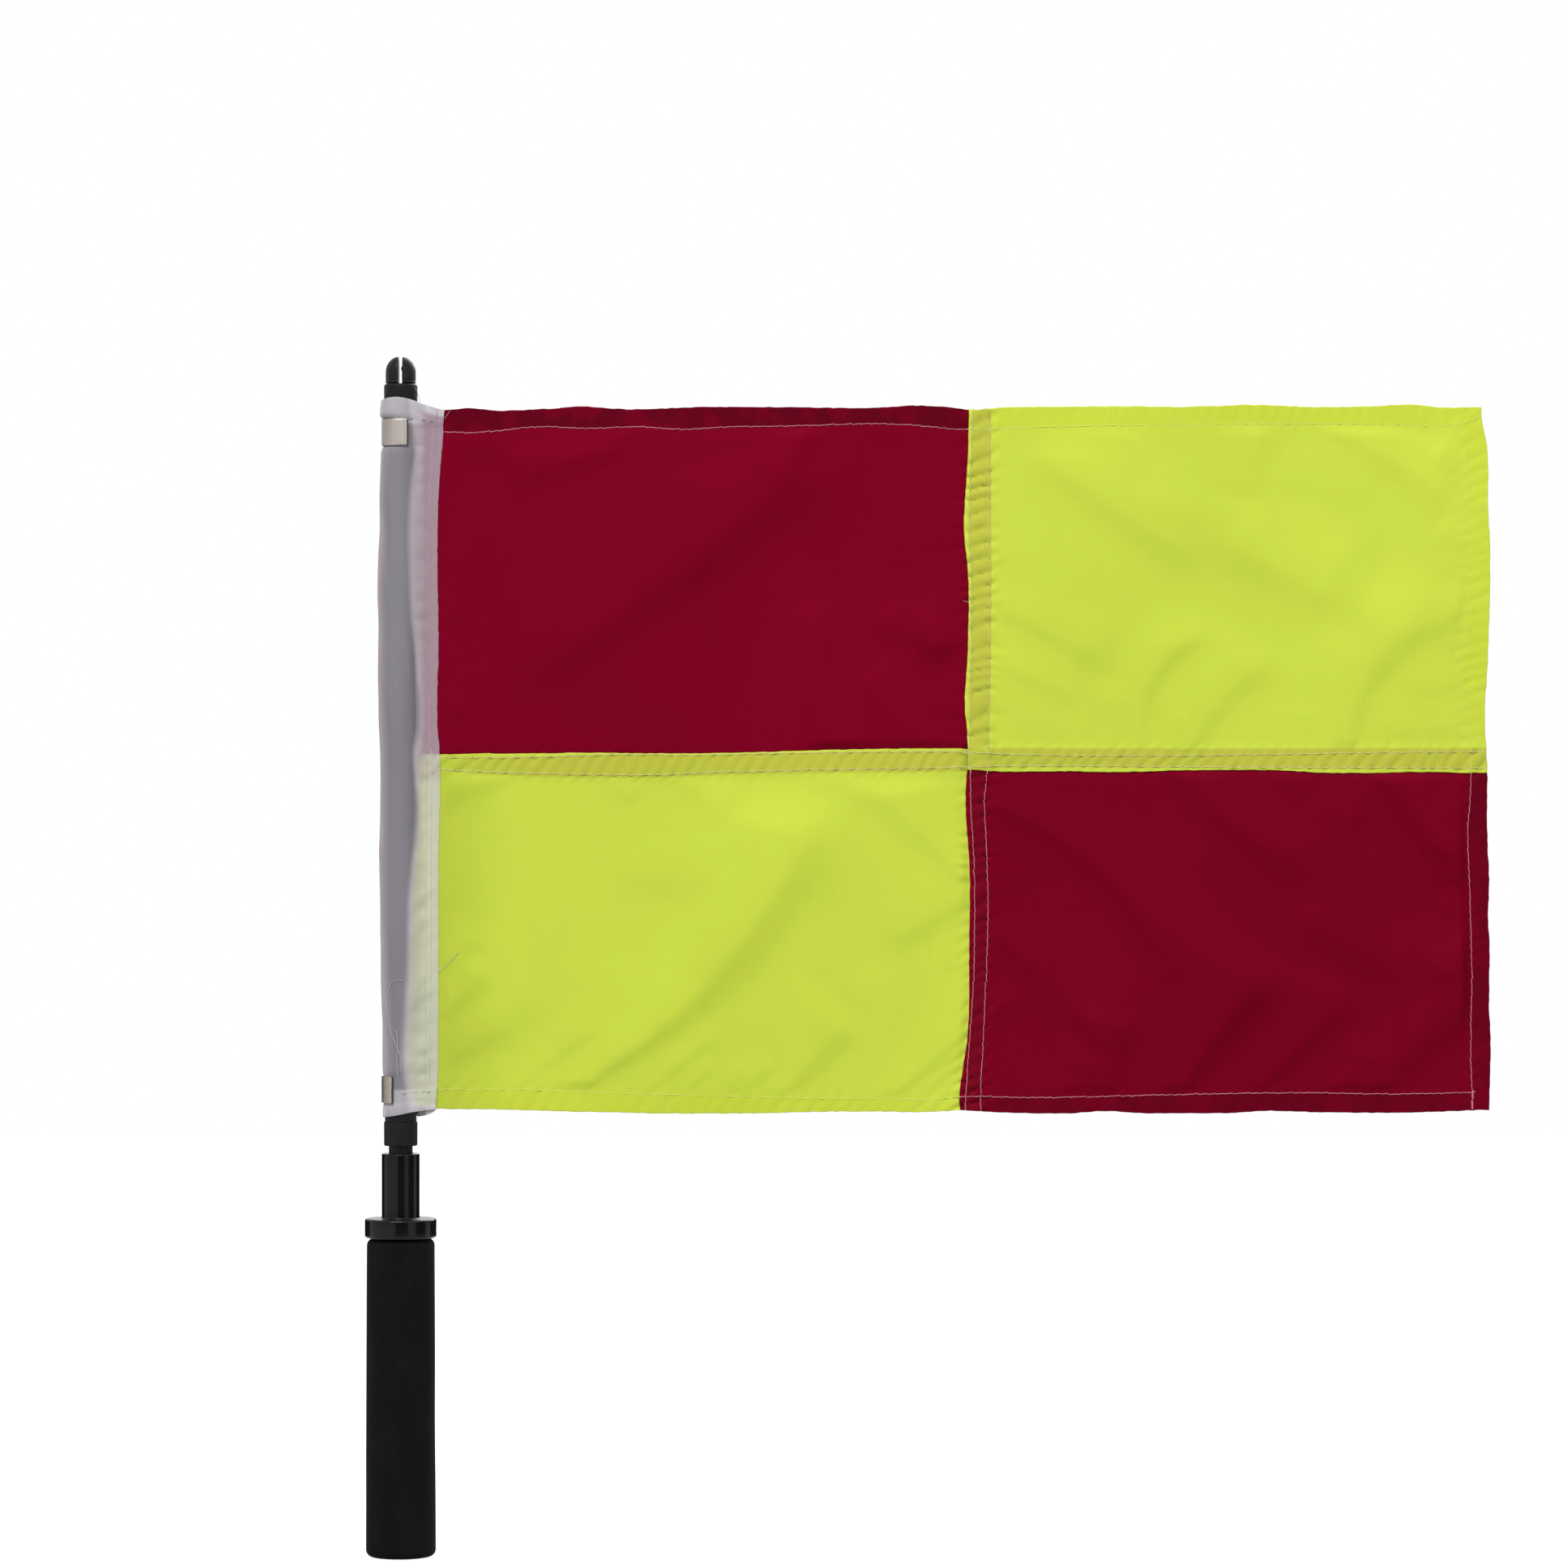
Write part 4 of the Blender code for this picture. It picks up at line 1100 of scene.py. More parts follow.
# %% Make the panels
panels = {
    "red_panel_upper": ("red_cloth_upper", red_cloth),
    "yellow_panel_upper": ("yellow_cloth_upper", yellow_cloth),
    "yellow_panel_lower": ("yellow_cloth_lower", yellow_cloth),
    "red_panel_lower": ("red_cloth_lower", red_cloth),
}
cloth_pieces = {}
for node, (piece_name, finish) in panels.items():
    cloth_pieces[node] = build_panel(node, piece_name, finish)

# %% [markdown]
# ## The white sleeve
# A strip of white cloth is wrapped round the tube, and its turned edges are sewn over the
# cloth's hoist edge. In front it leaves the tube along a crease that wanders, and dips to the
# seam. It is one sheet: its columns start under the front edge, run round the tube and end
# under the back edge, and its rows turn in at both hems.

# %% Measured lines of the sleeve
# Height in mm, then x in mm
SLEEVE_EDGE_X = [
    (188, 14.9), (200, 15.6), (249, 16.1), (300, 16.2), (335, 16.8), (345, 16.5), (353, 15.8), (388, 16.1),
    (440, 15.8), (458, 16.4), (478, 17.9), (496, 18.6),
]
SLEEVE_ROW_X = [
    (188, 12.0), (249, 12.8), (310, 13.0), (353, 13.2), (375, 12.4), (404, 12.3), (433, 12.9), (458, 13.8),
    (484, 15.2), (496, 15.8),
]
SLEEVE_LEFT_X = [
    (188, -7.2), (214, -7.2), (226, -7.5), (239, -7.9), (251, -8.2), (264, -8.6), (283, -8.9), (301, -9.2),
    (314, -8.9), (345, -8.9), (357, -9.3), (370, -9.6), (400, -9.6), (414, -9.9), (426, -9.6), (439, -9.0),
    (455, -9.3), (464, -8.9), (482, -8.5), (489, -9.0), (496, -8.4),
]
CREASE_X = [
    (192, 2.8), (201, 1.1), (211, -0.4), (232, 0.6), (249, 1.7), (284, 2.7), (301, 4.6), (319, 6.0),
    (333, 5.5), (343, 5.0), (354, 6.3), (371, 6.2), (388, 5.5), (402, 3.9), (423, 2.9), (451, 3.1),
    (461, 3.9), (471, 5.2), (480, 4.9), (488, 4.0), (496, 3.0),
]
BACK_CREASE_X = [
    (188, 7.0), (210, 7.0), (225, 5.4), (280, 4.2), (340, 5.2), (400, 3.9), (450, 5.0), (496, 4.6),
]
# X in mm, then how far the end lies above its straight place
TOP_CUT = [(-9.5, -1.7), (-6, -0.5), (-2, 0.0), (3, -0.6), (8, -2.1), (13, -3.7), (19, -5.3)]
BOTTOM_CUT_FRONT = [(-9.5, -1.1), (-6, -0.7), (0, 0.3), (5.7, 1.4), (10, 1.8), (16, 2.2)]
BOTTOM_CUT_BACK = [(-9.5, -1.1), (-3, -1.0), (6.7, -1.0), (12.6, 0.4), (16, 2.6)]
# Folds of the sleeve, written as those of the panels
SLEEVE_FOLDS = [
    (3.5, 233, 13.5, 242, 0, 1.3, 1.7, 20), (3.8, 238, 12.5, 248, 0, 1.3, 1.7, 14),
    (2.8, 209, 12.5, 217, 0, 1.2, 1.6, 22), (6.0, 205, 14.5, 212, 0, 1.2, 1.4, 20),
    (4.5, 274, 14.5, 286, 0, 1.6, 1.6, 14), (4.5, 264, 14.0, 274, 0, 1.6, 1.6, 12),
    (5.0, 300, 14.0, 306, 0, 1.8, 1.8, -15), (1.0, 466, 6.5, 477, 0, 1.2, 1.4, 14),
    (7.5, 455, 9.0, 478, 0, 1.6, 1.6, -12), (9.0, 420, 13.0, 424, 0, 1.6, 1.6, -15),
]
print("folds of the sleeve:", len(SLEEVE_FOLDS))

# %% Shape of the sleeve
SLEEVE_CLOTH = 0.16 * MM
SLEEVE_PLY = 0.19 * MM
SLEEVE_SNUG = tube_radius + 0.5 * MM
SLEEVE_EASE = 0.35 * MM
SLEEVE_DRAW_IN = 1.6 * MM
SLEEVE_FOLD = 0.30 * MM
# Cells of noise to the tube's radius, and the lengths of the sleeve's soft folds up the tube
SOFT_CELLS, LONG_FOLD, SHORT_FOLD = 2.2, 0.030, 0.011
SLEEVE_TURN_UNDER = 4.9 * MM
SLEEVE_GAP = 0.03 * MM
TAIL_START = 11.3 * MM
TICK_PITCH = 8.8 * MM
TICK_REACH = 0.8 * MM
TICK_REACHES = (0.3, 0.7)
PUFF = 0.6
NECK_CLEARANCE = 0.35 * MM
NECK_REACH = 0.48
# A neck that comes near the tube is kept off it with a corner this soft
NECK_SOFT = 0.3 * MM
# Least and most cosine of the angle at which the sleeve leaves the tube
CREASE_COSINES = (-0.4, 0.985)
# The sleeve is drawn in this far beyond a clip
CLIP_GRIP = 0.2 * MM
# The askew cut fades over this many depths of the hem
CUT_SPREAD = 1.4
# The hem's second ply starts and is full this far inward from its row
HEM_START, HEM_FULL = 1.6 * MM, 0.8 * MM
clip_spans = [(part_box(n)[0].z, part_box(n)[1].z) for n in ("lower_clip", "upper_clip")]


def sleeve_slack(z):
    """0 under the clips and 1 away from them."""
    slack = 1.0
    for low, high in clip_spans:
        above = rise(z, high + CLIP_GRIP, high + CLIP_GRIP + SLEEVE_DRAW_IN)
        below = rise(z, low - CLIP_GRIP, low - CLIP_GRIP - SLEEVE_DRAW_IN)
        slack = np.minimum(slack, smooth(np.maximum(above, below)))
    return slack


def sleeve_radius(angle, z):
    """Radius round the tube, looser on the side away from the cloth."""
    away = ((1 - np.cos(angle)) / 2) ** 1.5
    u, v = (SOFT_CELLS * turned + 3.0 for turned in (np.cos(angle), np.sin(angle)))
    folds = noise(91, u + z / LONG_FOLD, v + 5.0) + 0.5 * noise(92, 2 * u + z / SHORT_FOLD, 2 * v)
    bulge = np.maximum(0.0, -through(SLEEVE_LEFT_X, z) - SLEEVE_SNUG - SLEEVE_EASE)
    loose = SLEEVE_EASE + away * bulge + (0.25 + 0.75 * away) * SLEEVE_FOLD * folds
    return SLEEVE_SNUG + sleeve_slack(z) * np.maximum(0.0, loose)


def crease_angle(z, side):
    """Where the sleeve leaves the tube, as an angle from the cloth's direction."""
    line = CREASE_X if side < 0 else BACK_CREASE_X
    cosine = through(line, z) / (SLEEVE_SNUG + 0.5 * SLEEVE_EASE)
    return side * np.arccos(np.clip(cosine, *CREASE_COSINES))


def tail_start(z, side):
    """Where the tail meets the cloth. It reaches in further at every pucker."""
    turn = z / TICK_PITCH + 0.6 * noise(95 + side, z / (3 * TICK_PITCH))
    tick = (0.5 + 0.5 * np.cos(math.tau * turn)) ** 3
    return TAIL_START - TICK_REACH * tick * uneven(TICK_REACHES, noise(97, z / (2 * TICK_PITCH)))


def sleeve_ridges(x, z):
    """Height of the sleeve's folds towards the viewer."""
    total = 0.0
    for line in SLEEVE_FOLDS:
        total = total - fold(x / MM, z / MM, line)
    return total * MM


def hoist_surface(x, z, side):
    """Y of the cloth's face under the sleeve's tails. Side is -1 in front and 1 behind."""
    x = np.maximum(x, hoist_edge)
    straight = z - shifted(LEVEL_DRIFT, z, x, 72)
    straight = np.clip(z - shifted(LEVEL_DRIFT, straight, x, 72), cloth_bottom, cloth_top)
    return (front_y if side < 0 else back_y)("red_panel_upper", x, straight)


def tail_y(x, z, side, hemmed, above=0.0):
    """Y of the middle of a tail's outer ply."""
    out = SLEEVE_PLY * (2 * (1 + hemmed) - 1) + SLEEVE_CLOTH / 2 + SLEEVE_GAP + above
    y = hoist_surface(x, z, side) + side * out
    return y - np.maximum(0.0, sleeve_ridges(x, z)) if side < 0 else y


def end_cut(x, z, side):
    """How far the ends of the sleeve are cut askew. Side runs from -1 in front to 1 behind."""
    hem_depth = sleeve_top - sleeve_row_high
    near_top = smooth(rise(z, sleeve_top - CUT_SPREAD * hem_depth, sleeve_top))
    near_bottom = smooth(rise(z, sleeve_bottom + CUT_SPREAD * hem_depth, sleeve_bottom))
    back = smooth(rise(side, -1.0, 1.0))
    low = through(BOTTOM_CUT_FRONT, x) * (1 - back) + through(BOTTOM_CUT_BACK, x) * back
    return near_top * through(TOP_CUT, x) + near_bottom * low


def hem_of_sleeve(z):
    top = rise(z, sleeve_row_high - HEM_START, sleeve_row_high - HEM_FULL)
    return np.maximum(top, rise(z, sleeve_row_low + HEM_START, sleeve_row_low + HEM_FULL))


# %% Columns and rows of the sleeve
UNDER_STEPS = 5
TAIL_STEPS = 8
NECK_STEPS = 15
ROUND_STEPS = 96
HEM_STEPS = 7
ROW_SPACING = 1.5 * MM


def sleeve_columns():
    """Side, kind, share along it, plies inward and plies that the tail has there."""
    columns = []
    for side in (-1, 1):
        half = [(side, "under", i / UNDER_STEPS, 1.0, 2.0) for i in range(UNDER_STEPS)]
        turns = [i / TURN_STEPS for i in range(TURN_STEPS + 1)]
        half += [(side, "edge", t, (1 + math.cos(math.pi * t)) / 2, 2.0) for t in turns]
        half += [(side, "tail", i / TAIL_STEPS, 0.0, 2.0) for i in range(1, TAIL_STEPS + 1)]
        for i in range(1, NECK_STEPS + 1):
            half.append((side, "neck", i / NECK_STEPS, 0.0, max(1.0, 2.0 - 3 * i / NECK_STEPS)))
        columns += half if side < 0 else half[::-1]
        if side < 0:
            columns += [(0, "round", i / ROUND_STEPS, 0.0, 1.0) for i in range(1, ROUND_STEPS)]
    return columns


def sleeve_rows():
    hem_depth = sleeve_top - sleeve_row_high + HEM_FULL
    marks = [z + m * HEM_FULL for z in (sleeve_row_low, sleeve_row_high) for m in (-1, 0, 1)]
    marks += [z + m * MM for span in clip_spans for z in span for m in (-1.2, -0.4, 0.4, 1.2)]
    low, high = sleeve_bottom, sleeve_top
    turn = SLEEVE_PLY / 2
    turns = [math.pi * i / TURN_STEPS for i in range(TURN_STEPS + 1)]
    rows = [(low + hem_depth * (1 - i / HEM_STEPS), 1.0) for i in range(HEM_STEPS)]
    rows += [(low + turn * (1 - math.sin(t)), (1 + math.cos(t)) / 2) for t in turns]
    rows += [(z, 0.0) for z in spaced(low + turn, high - turn, marks, ROW_SPACING)[1:-1]]
    rows += [(high - turn * (1 - math.sin(t)), (1 - math.cos(t)) / 2) for t in turns]
    rows += [(high - hem_depth * (i + 1) / HEM_STEPS, 1.0) for i in range(HEM_STEPS)]
    return np.array(rows)


def bezier(points, t):
    a, b, c, d = points
    return (1 - t) ** 3 * a + 3 * t * (1 - t) ** 2 * b + 3 * t * t * (1 - t) * c + t**3 * d


def sleeve_outline(column, z, hemmed):
    """X and Y of one column at every height, and the direction that points inward."""
    side, kind, share = column[:3]
    if kind == "round":
        front, back = crease_angle(z, -1), crease_angle(z, 1) - math.tau
        angle = front + share * (back - front)
        radius = sleeve_radius(angle, z)
        return radius * np.cos(angle), radius * np.sin(angle), -np.cos(angle), -np.sin(angle)
    start = tail_start(z, side)
    if kind == "neck":
        angle = crease_angle(z, side)
        radius = sleeve_radius(angle, z)
        foot_y = tail_y(start, z, side, hemmed)
        end_x, end_y = radius * np.cos(angle), radius * np.sin(angle)
        reach = NECK_REACH * (start - end_x)
        lead_x, lead_y = np.sin(np.abs(angle)) + PUFF, np.cos(angle) * (1 - 0.8 * PUFF)
        length = np.hypot(lead_x, lead_y)
        x = bezier((start, start - 0.7 * reach, end_x + reach * lead_x / length, end_x), share)
        y = bezier((foot_y, foot_y + side * 0.5 * MM, end_y - side * reach * lead_y / length, end_y), share)
        if side < 0:
            y = y - sleeve_ridges(x, z) * math.sin(math.pi * share) ** 0.5
        bare_tube = np.sqrt(np.maximum(0.0, (tube_radius + NECK_CLEARANCE) ** 2 - x**2))
        gap = side * y - bare_tube
        y = side * (bare_tube + (gap + np.hypot(gap, NECK_SOFT)) / 2)
        inward_x, inward_y = -np.cos(angle) * share, -side * (1 - share * (1 - np.abs(np.sin(angle))))
        size = np.hypot(inward_x, inward_y)
        return x, y, inward_x / size, inward_y / size
    edge = through(SLEEVE_EDGE_X, z) + EDGE_RIPPLE * noise(74, z / EDGE_RIPPLE_CELL)
    radius = SLEEVE_PLY / 2
    if kind == "under":
        x = edge - SLEEVE_TURN_UNDER + (SLEEVE_TURN_UNDER - radius) * share
    elif kind == "edge":
        x = edge - radius * (1 - math.sin(math.pi * share))
    else:
        x = edge - radius + (start - edge + radius) * share
    return x, tail_y(x, z, side, hemmed), 0.0, -side


# %% Build the sleeve
# How far a hem hides the tube under it, and how far it counts as a double ply
HEM_HIDES, HEM_DOUBLES = 0.78, 0.6
# So far from the sleeve's left edge the tube shows in full, and the painted backlight ends
TUBE_SHOWN, EDGE_LIT = 5.2 * MM, 2.6 * MM
# At these heights the tube's grey fades over more of the neck: start, full from, full to, end
WIDE_GREYS = [(0.300, 0.315, 0.320, 0.330), (0.346, 0.354, 0.366, 0.376)]
GREY_FADE, WIDE_FADE = 0.28, 0.45
# In the upper half the cloth under the neck starts to show and shows in full at these x
CLOTH_SHOWS = (8.0 * MM, 11.0 * MM)
# In the lower half it starts this far from the crease, and shows in full this much earlier
LOW_START, LOW_EARLIER, LOW_HEIGHTS = 0.5 * MM, 0.8 * MM, (0.346, 0.334)
# Beyond the flag's cloth, painted backlight brightens the sleeve's tail between these x
TAIL_LIT = (5.0 * MM, 12.0 * MM)


def sleeve_fields(column, x, z, hemmed):
    """What shows through: the tube, the flag's cloth and double plies, and where light from behind is painted
    in.
    """
    kind, share = column[1:3]
    nothing = np.zeros_like(z)
    inward = x - through(SLEEVE_LEFT_X, z)
    tube_shows = smooth(rise(inward, 0.0, TUBE_SHOWN))
    cloth_shows, doubled, painted_backlight = nothing, nothing, smooth(rise(inward, EDGE_LIT, 0.0))
    if kind == "neck":
        wide = 0.0
        for start, full_from, full_to, end in WIDE_GREYS:
            wide = wide + rise(z, start, full_from) * rise(z, end, full_to)
        tube_shows = tube_shows * smooth(rise(share, 1 - (GREY_FADE + WIDE_FADE * wide), 1.0))
        low_part = smooth(rise(z, *LOW_HEIGHTS))
        first = CLOTH_SHOWS[0] * (1 - low_part) + (through(CREASE_X, z) + LOW_START) * low_part
        cloth_shows = smooth(rise(x, first, CLOTH_SHOWS[1] - LOW_EARLIER * low_part))
        # On the neck, painted backlight brightens the middle, which the lamps leave darker
        painted_backlight = nothing + math.sin(math.pi * share) ** 0.7
    elif kind != "round":
        tube_shows = nothing
        cloth_shows = nothing + 1.0
        inner_edge = through(SLEEVE_EDGE_X, z) - SLEEVE_TURN_UNDER
        doubled = rise(x, inner_edge - 0.3 * MM, inner_edge + 0.3 * MM)
    low = cloth_bottom + through(LEVEL_DRIFT[0][1], x)
    within = rise(z, low - 0.3 * MM, low + 0.5 * MM) * rise(z, cloth_top + 1.0 * MM, cloth_top - 0.6 * MM)
    cloth_shows = cloth_shows * within
    if kind != "round":
        # Painted backlight on the tail beyond the flag's cloth, weaker above the level seam
        beyond = (1 - within) * smooth(rise(x, *TAIL_LIT)) * (1 - 0.6 * (z > level_top))
        painted_backlight = np.maximum(painted_backlight, beyond)
    tube_shows = tube_shows * (1 - HEM_HIDES * hemmed)
    return [tube_shows, cloth_shows, np.maximum(doubled, HEM_DOUBLES * hemmed), painted_backlight, hemmed]


def build_sleeve(finish):
    columns, rows = sleeve_columns(), sleeve_rows()
    z, hem_plies = rows[:, 0], rows[:, 1]
    hemmed = hem_of_sleeve(z)
    points, fields = [], []
    for column in columns:
        x, y, inward_x, inward_y = sleeve_outline(column, z, hemmed)
        fields.append(sleeve_fields(column, x, z, hemmed))
        plies = column[3] + hem_plies * column[4]
        x = x + inward_x * plies * SLEEVE_PLY
        y = y + inward_y * plies * SLEEVE_PLY
        side = y / tube_radius if column[0] == 0 else column[0]
        points.append(np.stack([x, y, z + end_cut(x, z, side)], axis=-1))
    points = np.array(points)
    fields = np.array(fields)
    names = ("tube_shows", "cloth_shows", "doubled", "painted_backlight", "hem_ply")
    steps = np.linalg.norm(np.diff(points[:, points.shape[1] // 2], axis=0), axis=1)
    lengths = np.concatenate([[0.0], np.cumsum(steps)])
    heights = np.concatenate([[0.0], np.cumsum(np.abs(np.diff(z)))])
    uv = stacked(lengths[:, None], heights[None, :])
    mesh = sheet_mesh("white_sleeve", points, uv, {n: fields[:, i] for i, n in enumerate(names)})
    piece = thickened(new_piece("white_sleeve", mesh, finish), SLEEVE_CLOTH)
    flat = (float(lengths[-1]), float(heights[-1]))
    tell(piece, "cut to mm:", [round(size / MM, 1) for size in flat])
    return piece, flat


# %% [markdown]
# ## The sleeve's finish
# What lies under the thin white cloth shows: the black tube makes it grey, the red panel pink
# and the yellow panel cream. The function that builds the mesh knows what lies behind each
# column, so it stores that as fields, and the finish mixes them. Light shining through from
# behind is painted in as a brighter colour, also on the neck, which the lamps leave darker.

# %% Sleeve finish
# How much the painted backlight brightens the white cloth
PAINTED_BACKLIGHT = 0.35
RED_SHARP, RED_FAINT = 0.72, 0.28


def sleeve_finish():
    finish = Finish("white_cloth")
    _, threads, yarn = weave(finish)
    point, (_, _, z) = finish.place()
    over_red = z.step(level_top - 2.4 * MM, level_top - 1.2 * MM) * RED_SHARP
    over_red = over_red + z.step(level_bottom - 7 * MM, level_bottom - 1 * MM) * RED_FAINT
    doubled = field(finish, "doubled")
    plain = finish.mix(over_red, (0.515, 0.528, 0.382), (0.338, 0.235, 0.280))
    folded = finish.mix(over_red, (0.570, 0.588, 0.440), (0.366, 0.254, 0.303))
    bare = finish.mix(field(finish, "hem_ply"), (0.405, 0.362, 0.388), (0.495, 0.470, 0.508))
    colour = finish.mix(field(finish, "tube_shows"), bare, (0.220, 0.207, 0.238))
    colour = finish.mix(field(finish, "cloth_shows"), colour, finish.mix(doubled, plain, folded))
    mottle = finish.noise(finish.stretched(point, (60.0, 60.0, 12.0)), 1.0, 3.0)
    colour = finish.mix(mottle.step(0.42, 0.72) * 0.18 + threads * 0.02 + 0.02, colour, (0.300, 0.290, 0.320))
    # Painted light: the colour is brightened where backlight is painted in
    painted_light_gain = field(finish, "painted_backlight") * PAINTED_BACKLIGHT + 1.0
    colour = finish.scaled(colour, painted_light_gain)
    finish.set({
        "Base Color": colour,
        "Roughness": 0.72 + yarn * 0.2,
        "Specular IOR Level": 0.12,
        "Sheen Weight": 0.04,
        "Sheen Roughness": 0.4,
        "Normal": finish.bump(threads * 0.5 + yarn * 0.8, WEAVE_RELIEF, 0.3),
    })
    return finish.material


white_cloth = sleeve_finish()
sleeve, sleeve_flat = build_sleeve(white_cloth)

# %% [markdown]
# ## Turned parts
# The handle, the collars and the tube are outlines of radius and height turned about the
# pole's axis. A Screw modifier would do too, but a short function closes the poles at once.
# Corners are rounded in the outline, because moulded edges catch a line of light.

# %% Lathe
LATHE_STEPS = 112


def arc(centre_r, centre_z, radius, start, end, steps=6):
    """Points of a round corner, as (radius from the axis, height), angles in degrees."""
    turns = [math.radians(start + (end - start) * i / steps) for i in range(steps + 1)]
    return [(centre_r + radius * math.cos(t), centre_z + radius * math.sin(t)) for t in turns]


def straight(start, end, step):
    """Points between two places of an outline, both left out."""
    count = max(1, math.ceil(math.hypot(end[0] - start[0], end[1] - start[1]) / step))
    return [tuple(a + (b - a) * i / count for a, b in zip(start, end)) for i in range(1, count)]


def joined(step, *arcs):
    """Arcs of an outline with straight runs between them."""
    outline = list(arcs[0])
    for points in arcs[1:]:
        outline += straight(outline[-1], points[0], step) + points
    return outline


def lathe(outline, looped):
    """Turn an outline round Z into a bmesh with closed poles and faces that look out."""
    bm = bmesh.new()
    rings = []
    for radius, height in outline:
        if radius < 1e-7:
            rings.append([bm.verts.new((0.0, 0.0, height))] * LATHE_STEPS)
            continue
        turns = [math.tau * i / LATHE_STEPS for i in range(LATHE_STEPS)]
        rings.append([bm.verts.new((radius * math.cos(t), radius * math.sin(t), height)) for t in turns])
    pairs = list(zip(rings, rings[1:]))
    if looped:
        pairs.append((rings[-1], rings[0]))
    for upper, lower in pairs:
        for i in range(LATHE_STEPS):
            j = (i + 1) % LATHE_STEPS
            ring = [upper[i], upper[j], lower[j], lower[i]]
            kept = [v for k, v in enumerate(ring) if v is not ring[k - 1]]
            bm.faces.new(kept)
    bmesh.ops.recalc_face_normals(bm, faces=bm.faces)
    return bm


def turned_piece(name, outline, finish, looped=True, wobble=None):
    bm = lathe(outline, looped)
    if wobble:
        for vertex in bm.verts:
            angle = math.atan2(vertex.co.y, vertex.co.x)
            push = 1 + float(wobble(angle, vertex.co.z)) / max(1 * MM, math.hypot(vertex.co.x, vertex.co.y))
            vertex.co.x *= push
            vertex.co.y *= push
    mesh = bpy.data.meshes.new(name)
    bm.to_mesh(mesh)
    bm.free()
    piece = new_piece(name, mesh, finish)
    tell(piece)
    return piece


# %% [markdown]
# ## Black finishes
# The blacks differ only in how they shine: glossy moulded nylon with fine scuffs, two satin
# ones, the tube's matt surface with faint lengthwise lines, and foam full of pores.

# %% Moulded nylon, tube and foam
def moulded_finish(name, base, roughness, specular, grain):
    finish = Finish(name)
    point, _ = finish.place()
    fine = finish.noise(point, 900.0, 3.0)
    scuffs = finish.noise(finish.stretched(point, (500.0, 500.0, 90.0)), 1.0, 4.0, 0.6)
    worn = scuffs.step(0.60, 0.74)
    finish.set({
        "Base Color": finish.mix(worn * 0.35 + fine * 0.10, base, [c * 2.2 for c in base]),
        "Roughness": roughness + worn * 0.10 + (fine - 0.5) * 0.08,
        "Specular IOR Level": specular,
        "Normal": finish.bump(fine, grain, 0.35),
    })
    return finish.material


def tube_finish():
    finish = Finish("black_tube")
    point, _ = finish.place()
    lines = finish.noise(finish.stretched(point, (1400.0, 1400.0, 22.0)), 1.0, 3.0)
    speck = finish.noise(point, 1500.0, 2.0)
    worn = lines.step(0.45, 0.75) * 0.5 + speck * 0.15
    finish.set({
        "Base Color": finish.mix(worn, (0.0085, 0.0080, 0.0086), (0.019, 0.018, 0.019)),
        "Roughness": 0.52 + (lines - 0.5) * 0.15,
        "Specular IOR Level": 0.12,
        "Normal": finish.bump(lines * 0.6 + speck * 0.4, 0.02 * MM, 0.5),
    })
    return finish.material


def foam_finish():
    finish = Finish("black_foam")
    point, _ = finish.place()
    cells = finish.bubbles(point, 1500.0)
    pores = finish.bubbles(point, 520.0)
    fine = finish.noise(point, 2400.0, 3.0)
    open_pore = pores.step(0.34, 0.14)
    haze = finish.noise(finish.stretched(point, (70.0, 70.0, 40.0)), 1.0, 3.0)
    dusty = haze.step(0.35, 0.75) * 0.6 + fine * 0.25
    colour = finish.mix(dusty, (0.0042, 0.0040, 0.0040), (0.0090, 0.0085, 0.0083))
    # The open pores are painted nearly black, for the shade inside them
    finish.set({
        "Base Color": finish.mix(open_pore * 0.75, colour, (0.0012, 0.0012, 0.0012)),
        "Roughness": 0.93 - open_pore * 0.05,
        "Specular IOR Level": 0.08,
        "Sheen Weight": 0.004,
        "Sheen Roughness": 0.6,
        "Normal": finish.bump(cells * 0.5 + fine * 0.3 - open_pore * 0.8, 0.12 * MM, 0.8),
    })
    return finish.material


gloss_nylon = moulded_finish("gloss_nylon", (0.0050, 0.0046, 0.0052), 0.17, 0.17, 0.004 * MM)
satin_nylon = moulded_finish("satin_nylon", (0.0085, 0.0088, 0.0095), 0.38, 0.13, 0.010 * MM)
black_bush = moulded_finish("black_bush", (0.0078, 0.0075, 0.0078), 0.48, 0.12, 0.010 * MM)
black_tube = tube_finish()
black_foam = foam_finish()
blacks = [gloss_nylon, satin_nylon, black_bush, black_tube, black_foam]
print("black finishes:", [material.name for material in blacks])

# %% [markdown]
# ## The handle
# The core's flange guards the hand, and its hollow stem carries the spindle. The foam has
# round shoulders and a slow wobble of a tenth of a millimetre.

# %% Handle core, foam and end plug
core_low, core_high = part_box("handle_core")
foam_low, foam_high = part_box("foam_grip")
plug_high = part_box("end_plug")[1]
spindle_low, spindle_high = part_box("spindle")
guard_radius = core_high.x
stem_radius = plug_high.x
GUARD_THICKNESS = 8.3 * MM
GUARD_EDGE = 1.0 * MM
CORE_BORE = 5.4 * MM
STEM_EDGE = 0.5 * MM
FOAM_TOP_RADIUS = 14.5 * MM
FOAM_CORNER = 2.9 * MM
FOAM_BORE = 8.4 * MM
FOAM_WOBBLE = 0.10 * MM
FOAM_INWARD = 0.05 * MM
FILLET = 0.6 * MM
SEAT_GAP = 0.3 * MM
BORE_EDGE = 0.4 * MM
SPIGOT_GAP = 0.2 * MM
OUTLINE_STEP = 2.5 * MM
guard_bottom = foam_high.z + SEAT_GAP
guard_top = guard_bottom + GUARD_THICKNESS
plug_head = core_low.z - SEAT_GAP


